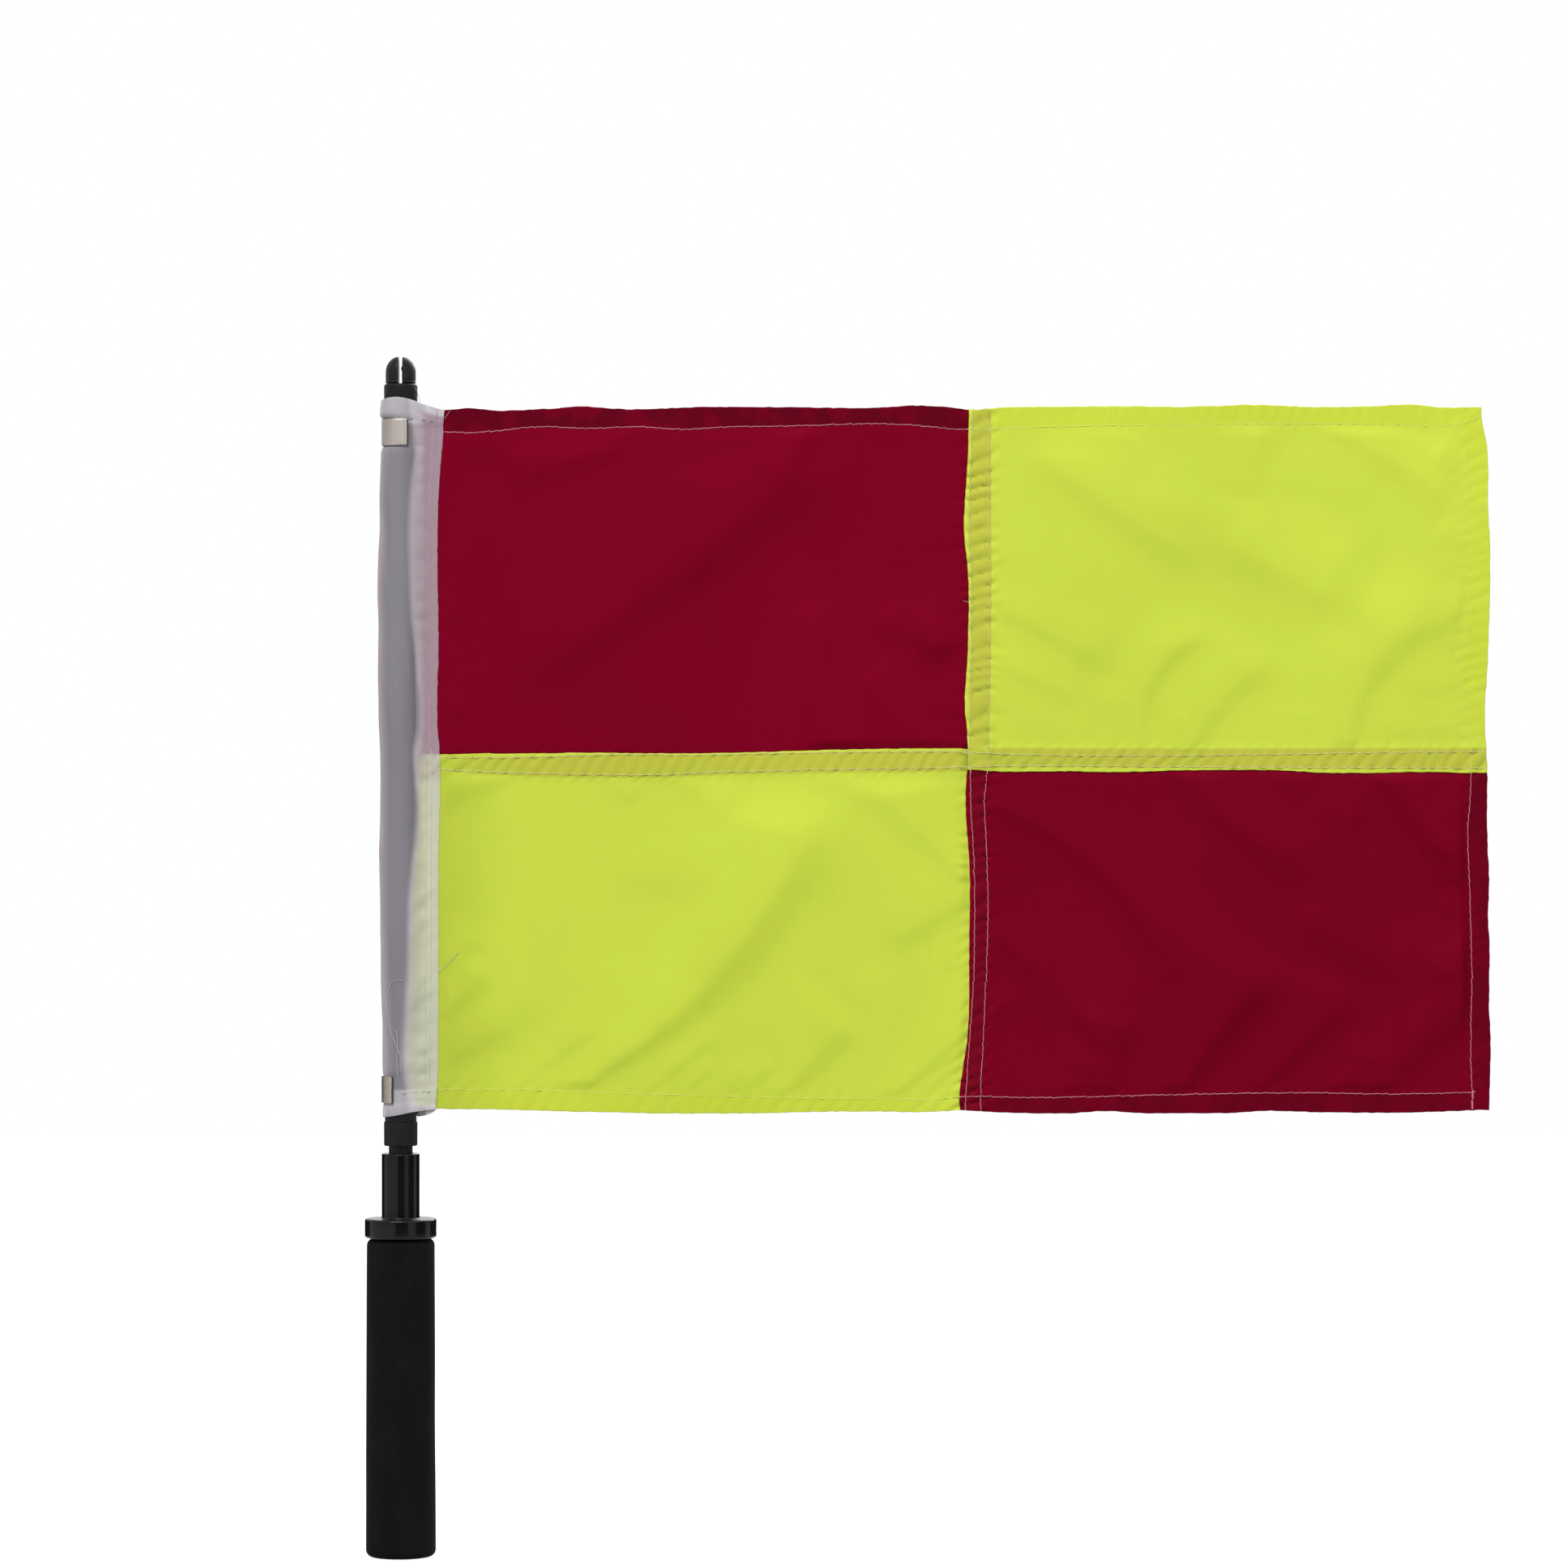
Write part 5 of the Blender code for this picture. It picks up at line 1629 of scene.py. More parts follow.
def core_outline():
    inner = CORE_BORE + BORE_EDGE
    stem_edge = arc(stem_radius - STEM_EDGE, core_high.z - STEM_EDGE, STEM_EDGE, 90, 0)
    root = arc(stem_radius + FILLET, guard_top + FILLET, FILLET, 180, 270)
    upper = arc(guard_radius - GUARD_EDGE, guard_top - GUARD_EDGE, GUARD_EDGE, 90, 0, 8)
    lower = arc(guard_radius - GUARD_EDGE, guard_bottom + GUARD_EDGE, GUARD_EDGE, 0, -90, 8)
    outline = [(CORE_BORE, core_high.z - BORE_EDGE), (inner, core_high.z)]
    outline += stem_edge + straight(stem_edge[-1], root[0], 6 * MM)
    outline += joined(OUTLINE_STEP, root, upper, lower)
    return outline + [(stem_radius, guard_bottom), (stem_radius, core_low.z), (CORE_BORE, core_low.z)]


def foam_outline():
    radius = foam_high.x
    top = arc(FOAM_TOP_RADIUS - FOAM_CORNER, foam_high.z - FOAM_CORNER, FOAM_CORNER, 90, 0, 10)
    bottom = arc(radius - FOAM_CORNER, foam_low.z + FOAM_CORNER, FOAM_CORNER, 0, -90, 10)
    return [(FOAM_BORE, foam_high.z)] + joined(OUTLINE_STEP, top, bottom) + [(FOAM_BORE, foam_low.z)]


def foam_wobble(angle, height):
    around = 1.4 * math.cos(angle) + 9.0, 1.4 * math.sin(angle) + 9.0
    return FOAM_WOBBLE * float(noise(81, around[0] + height / 0.035, around[1])) - FOAM_INWARD


def plug_outline():
    face = foam_low.z
    edge = arc(stem_radius - FILLET, face + FILLET, FILLET, 0, -90)
    dimple = [(1.7 * MM, face), (1.3 * MM, face + 0.5 * MM), (0.0, face + 0.6 * MM)]
    spigot = CORE_BORE - SPIGOT_GAP
    outline = [(0.0, plug_high.z), (spigot, plug_high.z), (spigot, plug_head), (stem_radius, plug_head)]
    return outline + edge + dimple


handle = turned_piece("handle_moulding", core_outline(), gloss_nylon)
foam = turned_piece("foam_sleeve", foam_outline(), black_foam, wobble=foam_wobble)
plug = turned_piece("grip_end_plug", plug_outline(), satin_nylon, looped=False)

# %% [markdown]
# ## Swivel tube and collars
# The tube turns on the spindle between two collars, which are the heads of its bushes. Their
# outer corners are rounded, and a fine groove is left where the collar meets the tube.

# %% Tube and bushes
lower_low, lower_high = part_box("lower_bush")
upper_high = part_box("upper_bush")[1]
tube_low, tube_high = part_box("swivel_tube")
bush_radius = lower_high.x
TUBE_WALL = 0.6 * MM
BUSH_BORE = 5.45 * MM
BUSH_EDGE = 1.1 * MM
TUBE_EDGE = 0.15 * MM
BUSH_SPIGOT = 12.0 * MM
BUSH_LIP = 0.2 * MM
BUSH_FIT = 0.15 * MM
BUSH_HEAD = tube_low.z - lower_low.z - 0.06 * MM


def tube_outline():
    inner = tube_radius - TUBE_WALL
    top = arc(tube_radius - TUBE_EDGE, tube_high.z - TUBE_EDGE, TUBE_EDGE, 90, 0, 3)
    bottom = arc(tube_radius - TUBE_EDGE, tube_low.z + TUBE_EDGE, TUBE_EDGE, 0, -90, 3)
    return [(inner, tube_high.z)] + joined(40 * MM, top, bottom) + [(inner, tube_low.z)]


def bush_outline(face, inward, edge):
    """Outline of a bush. Inward is 1 if the tube lies above its face and -1 if below."""
    shoulder = face + inward * BUSH_HEAD
    spigot = tube_radius - TUBE_WALL - BUSH_FIT
    tail = shoulder + inward * BUSH_SPIGOT
    corner = arc(bush_radius - edge, face + inward * edge, edge, -90 * inward, 0, 8)
    lip = arc(bush_radius - BUSH_LIP, shoulder - inward * BUSH_LIP, BUSH_LIP, 0, 90 * inward, 3)
    mouth = [(BUSH_BORE, face + inward * BORE_EDGE), (BUSH_BORE + BORE_EDGE, face)]
    outline = mouth + corner + lip + [(spigot, shoulder), (spigot, tail), (BUSH_BORE, tail)]
    return outline if inward < 0 else outline[::-1]


tube = turned_piece("black_pole_tube", tube_outline(), black_tube)
lower_collar = turned_piece("lower_collar", bush_outline(lower_low.z, 1, STEM_EDGE), black_bush)
upper_collar = turned_piece("upper_collar", bush_outline(upper_high.z, -1, BUSH_EDGE), black_bush)

# %% [markdown]
# ## Spindle and split tip
# The spindle ends in two barbed prongs, which spring together when the tube is pushed on. A
# slot cut with a Boolean would leave ragged faces, so each prong is lofted from D-shaped
# rings. A small nub stands on the right prong's inner face.

# %% Rings of a prong
barb_base = upper_high.z + 0.3 * MM
tip_top = spindle_high.z
barb_radius = spindle_high.x
ROD_RADIUS = 5.1 * MM
SLOT_HALF = 0.9 * MM
SLOT_DEPTH = 28.0 * MM
CROWN_RADIUS = 1.5 * MM
BULLET_HEIGHT = 6.6 * MM
BULLET_POWER = 1.15
PRONG_FILLET = 0.28 * MM
PRONG_ARC_STEPS = 36
PRONG_CHORD_STEPS = 10
BULLET_STEPS = 12
bullet_radius = barb_radius - 0.02 * MM
# In mm, how far inside its full radius and how far above its foot the barb's outline lies
BARB_OUTLINE = [(0.25, 0.0), (0.0, 0.25), (0.0, 0.85), (0.12, 1.0), (0.12, 1.12), (0.02, 1.35)]


def rounded(a, b, c):
    """Three places on the curve that rounds the corner b from a to c."""
    curve = []
    for t in (0.25, 0.5, 0.75):
        curve.append(tuple((1 - t) ** 2 * a[k] + 2 * t * (1 - t) * b[k] + t * t * c[k] for k in (0, 1)))
    return curve


def prong_ring(side, radius, height):
    """One D-shaped ring of a prong. Side is 1 on the right and -1 on the left."""
    fillet = min(PRONG_FILLET, 0.3 * (radius - SLOT_HALF))
    reach = math.acos(SLOT_HALF / radius) - fillet / radius
    chord = math.sqrt(radius**2 - SLOT_HALF**2)
    ring = []
    for i in range(PRONG_ARC_STEPS + 1):
        turn = -reach + 2 * reach * i / PRONG_ARC_STEPS
        ring.append((radius * math.cos(turn), radius * math.sin(turn)))
    ring += rounded(ring[-1], (SLOT_HALF, chord), (SLOT_HALF, chord - fillet))
    for i in range(PRONG_CHORD_STEPS + 1):
        ring.append((SLOT_HALF, (chord - fillet) * (1 - 2 * i / PRONG_CHORD_STEPS)))
    ring += rounded((SLOT_HALF, fillet - chord), (SLOT_HALF, -chord), ring[0])
    return [(side * x, y, height) for x, y in ring]


def prong_profile():
    """Radius and height of a prong from inside the rod to its crown."""
    rod_places = (tip_top - SLOT_DEPTH, barb_base - FILLET, barb_base)
    profile = [(ROD_RADIUS, height) for height in rod_places]
    profile += [(barb_radius - inside * MM, barb_base + above * MM) for inside, above in BARB_OUTLINE]
    bullet_base = tip_top - BULLET_HEIGHT
    profile += straight(profile[-1], (bullet_radius, bullet_base), 1.0 * MM)
    for i in range(BULLET_STEPS + 1):
        turn = math.radians(90 * i / BULLET_STEPS)
        spread = CROWN_RADIUS + (bullet_radius - CROWN_RADIUS) * abs(math.cos(turn)) ** BULLET_POWER
        profile.append((spread, bullet_base + BULLET_HEIGHT * math.sin(turn)))
    return profile


# %% Build the spindle
NUB_SIZE = (0.55 * MM, 0.9 * MM, 1.1 * MM)
nub_place = (SLOT_HALF + 0.1 * MM, -4.6 * MM, barb_base + 6.0 * MM)


def add_prong(bm, side):
    rings = [[bm.verts.new(p) for p in prong_ring(side, r, z)] for r, z in prong_profile()]
    for lower, upper in zip(rings, rings[1:]):
        for i in range(len(lower)):
            j = (i + 1) % len(lower)
            bm.faces.new([lower[i], lower[j], upper[j], upper[i]])
    bm.faces.new(rings[0][::-1])
    bm.faces.new(rings[-1])


def build_spindle():
    rod_top = tip_top - SLOT_DEPTH + 0.5 * MM
    outline = [(0.0, rod_top), (ROD_RADIUS, rod_top), (ROD_RADIUS, spindle_low.z + 0.5 * MM)]
    outline += [(ROD_RADIUS - 0.5 * MM, spindle_low.z), (0.0, spindle_low.z)]
    bm = lathe(outline, looped=False)
    for side in (-1, 1):
        add_prong(bm, side)
    nub = bmesh.ops.create_icosphere(bm, subdivisions=3, radius=1.0)["verts"]
    for vertex in nub:
        vertex.co = [place + co * size for place, co, size in zip(nub_place, vertex.co, NUB_SIZE)]
    bmesh.ops.recalc_face_normals(bm, faces=bm.faces)
    mesh = bpy.data.meshes.new("spindle_and_tip")
    bm.to_mesh(mesh)
    bm.free()
    return new_piece("spindle_and_tip", mesh, satin_nylon)


spindle = build_spindle()
tell(spindle)

# %% [markdown]
# ## Spring clips
# Two C-shaped clips of nickelled steel hold the sleeve on the tube. Each is a curved grid
# that is thickened and bevelled, and a field near its ends carries the dark cut end and its
# painted shadow.

# %% Clip finish
def clip_finish():
    finish = Finish("nickel")
    point, (x, _, z) = finish.place()
    streaks = finish.noise(finish.stretched(point, (900.0, 900.0, 30.0)), 1.0, 4.0, 0.6)
    cloudy = finish.noise(point, 260.0, 3.0)
    speck = finish.noise(finish.stretched(point, (1.0, 1.0, 0.55)), 3200.0, 2.0)
    # The dark cut end, with a painted shadow beside it, near both ends of the clip
    dark_cut_and_shadow = (field(finish, "cut_end") + speck * 0.7).step(0.66, 0.84)
    colour = finish.mix(streaks.step(0.30, 0.70), (0.368, 0.330, 0.298), (0.452, 0.410, 0.374))
    colour = finish.mix(cloudy.step(0.55, 0.70) * 0.30, colour, (0.270, 0.236, 0.206))
    # Darker towards the left side and on the lower clip
    darker_left_and_low = x.step(-2.0 * MM, -8.0 * MM) * 0.45 + z.step(0.35, 0.30) * 0.18
    colour = finish.mix(darker_left_and_low, colour, (0.230, 0.195, 0.165))
    finish.set({
        "Base Color": finish.mix(dark_cut_and_shadow, colour, (0.030, 0.026, 0.024)),
        "Metallic": 1.0 - dark_cut_and_shadow * 0.7,
        "Roughness": 0.36 + streaks * 0.12 + dark_cut_and_shadow * 0.3,
        "Normal": finish.bump(streaks, 0.002 * MM, 0.4),
    })
    return finish.material


nickel = clip_finish()


# %% Build the clips
CLIP_WALL = 0.45 * MM
CLIP_ARC = math.radians(232)
CLIP_EDGE = 0.10 * MM
CLIP_COLUMNS = 96
CLIP_ROWS = 12
CLIP_CUT = 1.0 * MM
CLIP_LIP = 0.25 * MM
clip_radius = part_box("upper_clip")[1].y - CLIP_WALL / 2


def build_clip(name, span, turn):
    """Clip round the sleeve. Its gap faces the cloth before it is turned towards the front."""
    low, high = span
    share = np.linspace(0.0, 1.0, CLIP_COLUMNS + 1)[:, None]
    height = np.linspace(0.0, 1.0, CLIP_ROWS + 1)[None, :]
    angle = -(math.tau - CLIP_ARC) / 2 - share * CLIP_ARC - turn
    lip = CLIP_LIP * (smooth(rise(share, 0.06, 0.0)) + smooth(rise(share, 0.94, 1.0)))
    radius = clip_radius + lip + 0.0 * height
    place = stacked(radius * np.cos(angle), radius * np.sin(angle), low + (high - low) * height)
    uv = stacked(share * CLIP_ARC * clip_radius, height * (high - low))
    from_end = np.minimum(share, 1 - share) * CLIP_ARC * clip_radius + 0.0 * height
    mesh = sheet_mesh(name, place, uv, {"cut_end": rise(from_end, CLIP_CUT, 0.0)})
    piece = new_piece(name, mesh, nickel)
    skin = piece.modifiers.new("thickness", "SOLIDIFY")
    skin.thickness = CLIP_WALL
    skin.offset = 0.0
    skin.use_even_offset = True
    edge = piece.modifiers.new("edges", "BEVEL")
    edge.width = CLIP_EDGE
    edge.segments = 2
    edge.limit_method = "ANGLE"
    edge.angle_limit = math.radians(50)
    apply_modifiers(piece)
    tell(piece)
    return piece


lower_clip = build_clip("lower_spring_clip", clip_spans[0], math.radians(46))
upper_clip = build_clip("upper_spring_clip", clip_spans[1], 0.0)

# %% [markdown]
# ## Stitches
# A row is the same short stitch hundreds of times, so Geometry Nodes lay it: a line of points
# on the cloth is cut into even steps, and each step carries one stitch and one needle hole.
# Pitch, sizes, unevenness and seed are inputs.

# %% The stitch tree
# Least and most size of a stitch along, across and outward, as shares of the plain one
STITCH_LEAST, STITCH_MOST = (0.93, 0.88, 0.85), (1.02, 1.1, 1.1)
# The arch of a stitch: its ends and handles, in half lengths and dips
STITCH_ARCH = {"Start": (-1, -1), "Start Handle": (-0.8, 0.4), "End Handle": (0.8, 0.4), "End": (1, -1)}
# Both in thread or hole radii
STITCH_DIP, HOLE_DEPTH = 0.9, 0.35


def stitch_tree():
    group = bpy.data.node_groups.new("stitch_row", "GeometryNodeTree")
    sizes = ("Pitch", "Stitch length", "Thread radius", "Hole radius", "Hole height", "Lean", "Unevenness")
    sockets = {"Row": "NodeSocketGeometry", **{name: "NodeSocketFloat" for name in sizes}}
    sockets.update(Seed="NodeSocketInt", Thread="NodeSocketMaterial", Hole="NodeSocketMaterial")
    for name, kind in sockets.items():
        group.interface.new_socket(name, in_out="INPUT", socket_type=kind)
    group.interface.new_socket("Stitches", in_out="OUTPUT", socket_type="NodeSocketGeometry")
    t = Tree(group)
    start = group.nodes.new("NodeGroupInput")
    given = {out.name: Value(t, out) for out in start.outputs if out.name}

    def made(kind, inputs, **settings):
        return t.node(kind, settings, inputs)

    line = made("GeometryNodeMeshToCurve", {"Mesh": given["Row"]})
    even = made("GeometryNodeResampleCurve", {"Curve": line, "Length": given["Pitch"]}, mode="LENGTH")
    along = made("GeometryNodeInputTangent", {})
    vectors = {"data_type": "FLOAT_VECTOR"}
    outward = t.node("GeometryNodeInputNamedAttribute", vectors, {"Name": "outward"}, "Attribute")
    facing = made("FunctionNodeAlignRotationToVector", {"Vector": along}, axis="X")
    upright = {"Rotation": facing, "Vector": outward}
    facing = made("FunctionNodeAlignRotationToVector", upright, axis="Z", pivot_axis="X")
    span = {"Min": given["Unevenness"] * -1.0, "Max": given["Unevenness"], "Seed": given["Seed"]}
    slew = made("FunctionNodeRandomValue", span, data_type="FLOAT")
    slew = made("FunctionNodeAxisAngleToRotation", {"Axis": outward, "Angle": slew + given["Lean"]})
    slewed = {"Rotation": facing, "Rotate By": slew}
    facing = made("FunctionNodeRotateRotation", slewed, rotation_space="GLOBAL")
    span = {"Min": STITCH_LEAST, "Max": STITCH_MOST, "Seed": given["Seed"] + 1.0}
    scale = made("FunctionNodeRandomValue", span, **vectors)
    half, dip = given["Stitch length"] * 0.5, given["Thread radius"] * STITCH_DIP
    bends = {}
    for name, (x, z) in STITCH_ARCH.items():
        bends[name] = made("ShaderNodeCombineXYZ", [half * x, 0.0, dip * z])
    arch = made("GeometryNodeCurvePrimitiveBezierSegment", {"Resolution": 5, **bends})
    ring = made("GeometryNodeCurvePrimitiveCircle", {"Resolution": 7, "Radius": given["Thread radius"]})
    bead = made("GeometryNodeCurveToMesh", {"Curve": arch, "Profile Curve": ring, "Fill Caps": True})
    each = {"Points": even, "Instance": bead, "Rotation": facing, "Scale": scale}
    laid = made("GeometryNodeInstanceOnPoints", each)
    wide = given["Hole radius"]
    hole_size = made("ShaderNodeCombineXYZ", [wide, wide, wide * HOLE_DEPTH])
    dot = made("GeometryNodeMeshUVSphere", {"Segments": 8, "Rings": 4, "Radius": 1.0})
    dot = made("GeometryNodeTransform", {"Geometry": dot, "Scale": hole_size})
    steps = [t.scaled(along, given["Pitch"] * 0.5), t.scaled(outward, given["Hole height"])]
    ahead = made("ShaderNodeVectorMath", steps, operation="ADD")
    between = made("GeometryNodeSetPosition", {"Geometry": even, "Offset": ahead})
    each = {"Points": between, "Instance": dot, "Rotation": facing}
    holes = made("GeometryNodeInstanceOnPoints", each)
    joined_up = group.nodes.new("GeometryNodeJoinGeometry")
    finished = []
    for instances, look in ((laid, "Thread"), (holes, "Hole")):
        real = made("GeometryNodeRealizeInstances", {"Geometry": instances})
        soft = made("GeometryNodeSetShadeSmooth", {"Geometry": real})
        finished.append(made("GeometryNodeSetMaterial", {"Geometry": soft, "Material": given[look]}))
    for part in finished[::-1]:
        group.links.new(part.socket, joined_up.inputs[0])
    end = group.nodes.new("NodeGroupOutput")
    group.links.new(joined_up.outputs[0], end.inputs[0])
    return group


stitches = stitch_tree()
print("nodes in the stitch tree:", len(stitches.nodes))


# %% [markdown]
# ## Thread finishes
# One pale thread sews the whole flag, but it looks pinkish on the red cloth and tan on the
# yellow, because the cloth's colour shines on it, and nearly yellow where it's drawn deep
# into a hem. That reflected light is painted into the thread's colour, chosen by the panel it
# lies on. The needle holes are dots painted dark with the shade inside them.

# %% Threads and holes
# Between these heights the foot of the upright seam leans this far to the left
SEAM_LEAN_HEIGHTS, SEAM_LEAN = (0.224, 0.202), 3.2 * MM
# The colour changes this far from a seam's edge, later below the level seam
COLOUR_SOFT, COLOUR_LATE = 0.4 * MM, 1.2 * MM
# The pale thread with the red cloth's reflected light painted in
PINKISH = (0.560, 0.172, 0.238)


def thread_finish(name, over_red, over_yellow):
    finish = Finish(name)
    point, (x, _, z) = finish.place()
    # On the back the other panel's edge lies on top in every lap
    behind = field(finish, "behind")
    across, up = behind * (upright_right - upright_left), behind * (level_top - level_bottom)
    x = x + z.step(*SEAM_LEAN_HEIGHTS) * SEAM_LEAN
    right = (x - across).step(upright_left - COLOUR_SOFT, upright_left + COLOUR_SOFT)
    high = (z + up).step(level_top - COLOUR_SOFT, level_top + COLOUR_SOFT)
    low = (z - up).step(level_bottom - COLOUR_SOFT, level_bottom - COLOUR_LATE)
    red_here = high * (1 - right) + low * right
    fuzz = finish.noise(point, 2600.0, 3.0)
    colour = finish.mix(red_here, over_yellow, over_red)
    finish.set({
        "Base Color": finish.mix(fuzz.step(0.40, 0.75) * 0.20, colour, [c * 0.75 for c in over_yellow]),
        "Roughness": 0.62 + (fuzz - 0.5) * 0.2,
        "Specular IOR Level": 0.25,
        "Sheen Weight": 0.1,
        "Normal": finish.bump(fuzz, 0.03 * MM, 0.6),
    })
    return finish.material


# A needle hole is a dot painted dark with the shade inside it, frayed at random
def hole_finish():
    finish = Finish("needle_hole_shade")
    point, _ = finish.place()
    fray = finish.noise(point, 3000.0, 2.0)
    colour = finish.mix(fray, (0.030, 0.022, 0.016), (0.085, 0.062, 0.040))
    finish.set({"Base Color": colour, "Roughness": 0.95, "Specular IOR Level": 0.05})
    return finish.material


# Each thread's colour over red and over yellow has the cloth's reflected light painted in
pale_thread = thread_finish("pale_thread", PINKISH, (0.640, 0.605, 0.250))
hem_thread = thread_finish("hem_thread", PINKISH, (0.640, 0.700, 0.150))
white_thread = thread_finish("white_thread", (0.370, 0.290, 0.340), (0.560, 0.570, 0.460))
needle_hole_shade = hole_finish()
print("thread finishes:", pale_thread.name, hem_thread.name, white_thread.name)

# %% Lay the rows
STITCH_PITCH = 3.7 * MM
STITCH_LENGTH = 3.62 * MM
STITCH_RADIUS = 0.18 * MM
# A thread's middle lies this far out of a hard surface
THREAD_OUT = STITCH_RADIUS * 0.85
HOLE_RADIUS = 0.15 * MM
FAINT_HOLE = 0.08 * MM
# How far the holes lie in front of the row's line
HOLE_HEIGHT = -0.108 * MM
LEVEL_HOLE_HEIGHT = 0.05 * MM
STITCH_LEAN = math.radians(4.5)
STITCH_SLEW = math.radians(2.0)
ROW_STEP = 1.0 * MM
SINK = 0.09 * MM
# The rows of the level seam are drawn into the cloth, and those of the yellow hems more so
LEVEL_SINK = 0.18 * MM
HEM_SINK = 0.24 * MM
# A stitch is straight, so it lies on the highest places this far to both sides of its middle
ROW_BRIDGE = 1.3 * MM


def input_id(group, name):
    inputs = [item for item in group.interface.items_tree if item.in_out == "INPUT"]
    return next(item.identifier for item in inputs if item.name == name)


def cloth_line(xs, zs, side):
    """A row on the cloth's front (side -1) or back (side 1), where the cloth has drifted to."""
    panel = "yellow_panel_upper"
    face_y, foremost = (front_y, np.minimum) if side < 0 else (back_y, np.maximum)
    along_x = ROW_BRIDGE if xs[-1] > xs[0] else 0.0
    along_z = ROW_BRIDGE - along_x
    before, after = (face_y(panel, xs + s * along_x, zs + s * along_z) for s in (-1, 1))
    y = foremost(face_y(panel, xs, zs), foremost(before, after))
    place_x, place_z = drifted(xs, zs)
    over_yellow = np.where(xs > upright_left, zs > level_bottom, zs < level_top)
    drawn_in = LEVEL_SINK if level_bottom < zs[0] < level_top else HEM_SINK
    in_upright_seam = not along_x and xs[0] < upright_right
    sink = np.where(over_yellow, SINK if in_upright_seam else drawn_in, SINK)
    y = y + side * (THREAD_OUT - sink)
    return np.stack([place_x, y, place_z], axis=-1), (0.0, float(side), 0.0)


def stitch_piece(name, lines, thread, seed, hole_radius, hole_height=HOLE_HEIGHT):
    mesh = bpy.data.meshes.new(name)
    places, edges, outward = [], [], []
    for points, facing in lines:
        first = len(places)
        places += points.tolist()
        edges += [(first + i, first + i + 1) for i in range(len(points) - 1)]
        outward += [facing] * len(points)
    mesh.from_pydata(places, edges, [])
    outward = np.array(outward, np.float32)
    attribute = mesh.attributes.new("outward", "FLOAT_VECTOR", "POINT")
    attribute.data.foreach_set("vector", outward.ravel())
    attribute = mesh.attributes.new("behind", "FLOAT", "POINT")
    attribute.data.foreach_set("value", (outward[:, 1] > 0).astype(np.float32))
    piece = add_object(name, mesh)
    modifier = piece.modifiers.new("stitches", "NODES")
    modifier.node_group = stitches
    sizes = {"Pitch": STITCH_PITCH, "Stitch length": STITCH_LENGTH, "Thread radius": STITCH_RADIUS,
             "Hole radius": hole_radius, "Hole height": hole_height, "Lean": STITCH_LEAN,
             "Unevenness": STITCH_SLEW, "Seed": seed, "Thread": thread, "Hole": needle_hole_shade}
    for key, value in sizes.items():
        modifier[input_id(stitches, key)] = value
    apply_modifiers(piece)
    print(name, "stitch faces:", len(piece.data.polygons))
    return piece


def level_row(z, start, end):
    xs = np.arange(start, end, ROW_STEP)
    return [cloth_line(xs, np.full_like(xs, z), side) for side in (-1, 1)]


def upright_row(x, start, end):
    zs = np.arange(start, end, ROW_STEP)
    return [cloth_line(np.full_like(zs, x), zs, side) for side in (-1, 1)]


row_start, row_end = sleeve_edge + 1.6 * MM, fly_edge - 2.6 * MM
row_foot, row_head = cloth_bottom + 2.0 * MM, cloth_top - 2.0 * MM
# At its foot the fly hem is sewn over twice more, this far beside the row
BACKTACKS = (0.45 * MM, 0.15 * MM)
backtack = [line for off in BACKTACKS for line in upright_row(fly_row + off, row_foot, bottom_row)]
left_row, right_row = (upright_row(x, row_foot, row_head) for x in (upright_row_left, upright_row_right))
row_lines = {
    "top_hem_stitching": ("stitches_top_hem", level_row(top_row, row_start, row_end)),
    "bottom_hem_stitching": ("stitches_bottom_hem", level_row(bottom_row, row_start, fly_row)),
    "fly_hem_stitching": ("stitches_fly_hem", upright_row(fly_row, row_foot, top_row - 1 * MM) + backtack),
    "upright_seam_stitching_left": ("stitches_upright_left", left_row),
    "upright_seam_stitching_right": ("stitches_upright_right", right_row),
    "level_seam_stitching_lower": ("stitches_level_lower", level_row(level_row_low, row_start, row_end)),
    "level_seam_stitching_upper": ("stitches_level_upper", level_row(level_row_high, row_start, row_end)),
}
row_pieces = {}
for number, (node, (piece_name, lines)) in enumerate(row_lines.items()):
    hole = FAINT_HOLE if "hem" in node else HOLE_RADIUS
    height = LEVEL_HOLE_HEIGHT if node.startswith("level") else HOLE_HEIGHT
    thread = hem_thread if "hem" in node else pale_thread
    row_pieces[node] = stitch_piece(piece_name, lines, thread, 1 + 2 * number, hole, height)

# %% Rows on the sleeve
SLEEVE_THREAD_OUT = SLEEVE_CLOTH / 2 + THREAD_OUT - SINK


def sleeve_line(xs, zs, side):
    """A row on the outer face of the sleeve's tails."""
    y = tail_y(xs, zs, side, hem_of_sleeve(zs), SLEEVE_THREAD_OUT)
    return np.stack([xs, y, zs + end_cut(xs, zs, side)], axis=-1), (0.0, float(side), 0.0)


def hem_line(height, side):
    """A row round the hem, from the tube over the neck to the seam row on the tail."""
    z = np.array([height])
    hemmed = hem_of_sleeve(z)
    columns = [(side, "neck", share, 0.0, 1.0) for share in np.linspace(0.9, 0.0, 10)]
    columns += [(side, "tail", share, 0.0, 2.0) for share in (0.8, 0.6)]
    places = []
    for column in columns:
        x, y, inward_x, inward_y = (float(np.ravel(v)[0]) for v in sleeve_outline(column, z, hemmed))
        x, y = x - SLEEVE_THREAD_OUT * inward_x, y - SLEEVE_THREAD_OUT * inward_y
        places.append((x, y, height + float(end_cut(x, height, side))))
    return np.array(places), (0.0, float(side), 0.0)


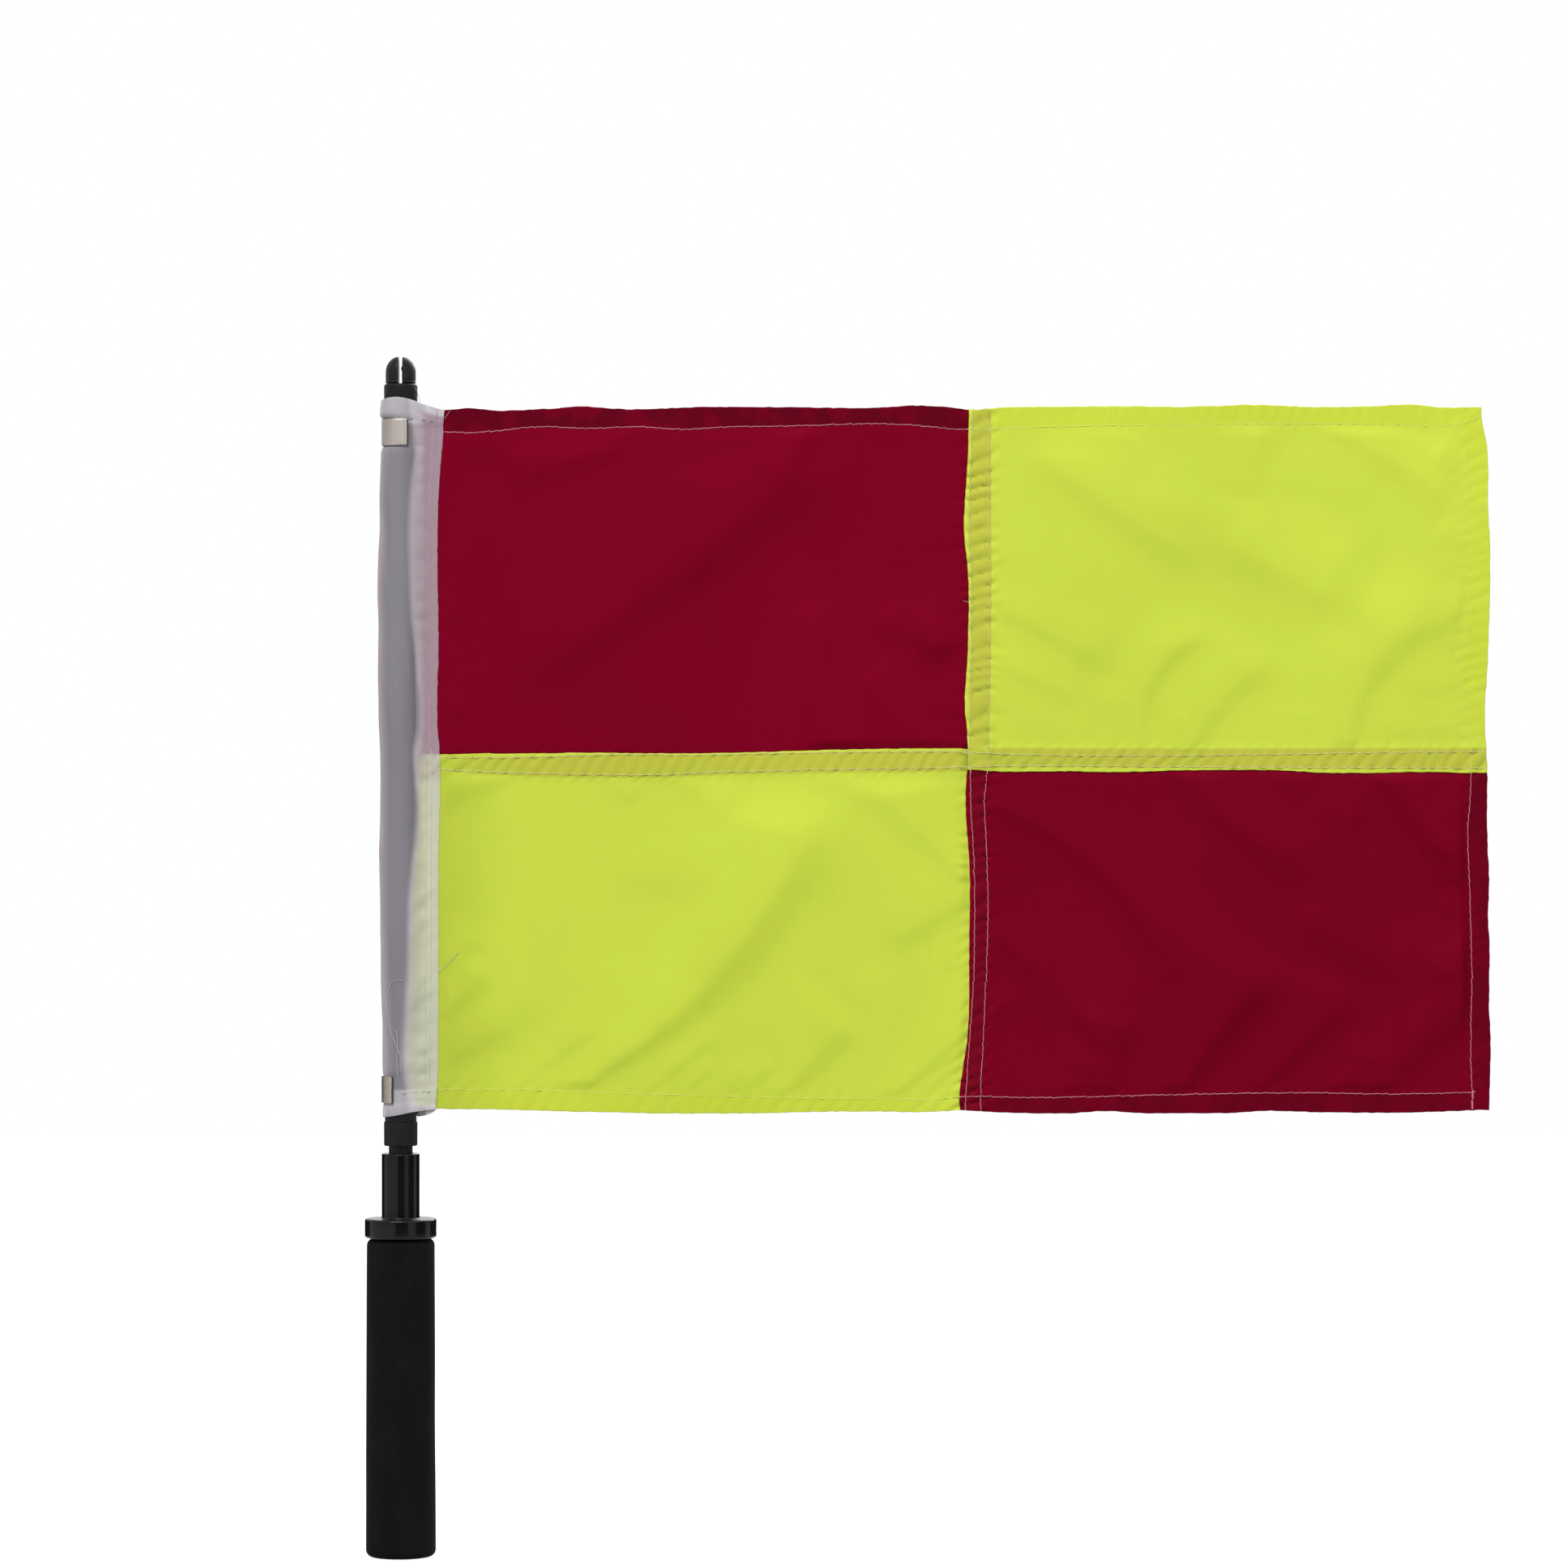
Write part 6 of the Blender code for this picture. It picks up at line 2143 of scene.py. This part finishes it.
seam_z = np.arange(sleeve_bottom + 2.2 * MM, sleeve_top - 2.8 * MM, ROW_STEP)
seam_x = through(SLEEVE_ROW_X, seam_z)
seam_lines = [sleeve_line(seam_x, seam_z, side) for side in (-1, 1)]
top_lines = [hem_line(sleeve_row_high + HEM_FULL, side) for side in (-1, 1)]
bottom_lines = [hem_line(sleeve_row_low, side) for side in (-1, 1)]
sleeve_lines = {
    "sleeve_seam_stitching": ("stitches_sleeve_seam", seam_lines),
    "sleeve_top_hem_stitching": ("stitches_sleeve_top", top_lines),
    "sleeve_bottom_hem_stitching": ("stitches_sleeve_bottom", bottom_lines),
}
for number, (node, (piece_name, lines)) in enumerate(sleeve_lines.items()):
    hole = FAINT_HOLE if "hem" in node else HOLE_RADIUS
    row_pieces[node] = stitch_piece(piece_name, lines, white_thread, 21 + 2 * number, hole)

# %% [markdown]
# ## Loose threads
# The sewer left a few ends of thread, on the sleeve and on the upright seam. Each is a curve
# with a round bevel through a few points, turned into a mesh.

# %% Loose thread ends
LOOSE_RADIUS = 0.10 * MM
# Picture columns and rows of each thread, then how far it stands off what it lies on, in mm
LOOSE_THREADS = [
    [(497, 1207, 0.3), (490, 1206, 0.4), (483, 1210, 0.4), (478, 1225, 0.3), (477.5, 1243, 0.3),
     (480, 1262, 0.4), (485, 1277, 0.4), (491, 1291, 0.4), (496, 1301, 0.3), (496, 1311, 0.3),
     (494.5, 1320, 0.3)],
    [(490, 1268, 0.6), (491.5, 1285, 0.6), (490, 1305, 0.4), (491, 1326, 0.3)],
    [(539, 1196, 0.4), (547, 1191, 0.7), (556, 1183, 0.8), (565, 1172, 0.5)],
    [(548, 516, 0.4), (551, 511, 0.7), (555, 506, 0.6)],
    [(518, 496, 0.2), (516, 489, 0.5), (514, 483, 0.6), (511, 478, 0.3)],
    [(1187, 740, 0.4), (1190, 741, 0.6), (1195, 742, 0.4)],
]
PICTURE_AXIS_X = 493.7
PICTURE_FOOT_Y = 1917


def in_front_of(x, z):
    """Y just in front of the flag at a place: the sleeve round the tube, or the cloth."""
    if z > sleeve_top:
        return -math.sqrt(max(0.0, bush_radius**2 - x**2))
    if x < tube_radius:
        angle = -math.acos(max(-1.0, x / (SLEEVE_SNUG + SLEEVE_EASE)))
        radius = float(sleeve_radius(angle, np.array(z))) + SLEEVE_CLOTH
        return -math.sqrt(max(0.0, radius**2 - x**2))
    if x < sleeve_edge:
        return float(hoist_surface(np.array(x), np.array(z), -1)) - 4 * SLEEVE_PLY
    half = "upper" if z > level_top else "lower"
    colour = "red" if (x > upright_right) != (z > level_top) else "yellow"
    return float(front_y(f"{colour}_panel_{half}", np.array(x), np.array(z)))


def build_loose_threads():
    curve = bpy.data.curves.new("loose_threads", "CURVE")
    curve.dimensions = "3D"
    curve.bevel_depth = LOOSE_RADIUS
    curve.bevel_resolution = 2
    curve.use_fill_caps = True
    curve.resolution_u = 8
    for path in LOOSE_THREADS:
        spline = curve.splines.new("NURBS")
        spline.points.add(len(path) - 1)
        spline.order_u = 3
        spline.use_endpoint_u = True
        for point, (column, row, off) in zip(spline.points, path):
            x, z = (column - PICTURE_AXIS_X) * PIXEL_SIZE, (PICTURE_FOOT_Y - row) * PIXEL_SIZE
            point.co = (x, in_front_of(x, z) - off * MM, z, 1.0)
    drawn = add_object("loose_thread_ends", curve)
    mesh = evaluated(drawn)
    bpy.data.objects.remove(drawn)
    return new_piece("loose_thread_ends", mesh, white_thread)


loose = build_loose_threads()
print("loose threads:", len(LOOSE_THREADS))

# %% [markdown]
# ## Hand everything to the frame
# Each piece rides on the body of the solid that it replaces, so the flag swivels as one.

# %% Ride and replace
turned_pieces = {
    "handle_core": (handle, "handle", "gloss_nylon"),
    "foam_grip": (foam, "handle", "black_foam"),
    "end_plug": (plug, "handle", "satin_nylon"),
    "spindle": (spindle, "handle", "satin_nylon"),
    "swivel_tube": (tube, "flag", "black_tube"),
    "lower_bush": (lower_collar, "flag", "black_bush"),
    "upper_bush": (upper_collar, "flag", "black_bush"),
    "lower_clip": (lower_clip, "flag", "nickel"),
    "upper_clip": (upper_clip, "flag", "nickel"),
    "hoist_sleeve": (sleeve, "flag", "white_cloth"),
}
for node, (piece, body, slot) in turned_pieces.items():
    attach(piece, body)
    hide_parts(node)

for node, (piece, flat) in cloth_pieces.items():
    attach(piece, "flag")
    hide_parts(node)

for node, piece in row_pieces.items():
    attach(piece, "flag")
    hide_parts(node)
    "white_thread" if "sleeve" in node or "top" in node else "pale_thread"

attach(loose, "flag")
print("pieces on the frame:", len(turned_pieces) + len(cloth_pieces) + len(row_pieces) + 1)

# %% [markdown]
# ## Both sizes
# The dressed flag has to keep the solids' size, so both boxes are written down.

# %% Write both boxes
visual_bounds = [list(corner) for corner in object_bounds()]
for name, (low, high) in (("solid", cad_bounds), ("dressed", visual_bounds)):
    print(name, "size in mm:", [round((b - a) / MM, 1) for a, b in zip(low, high)])
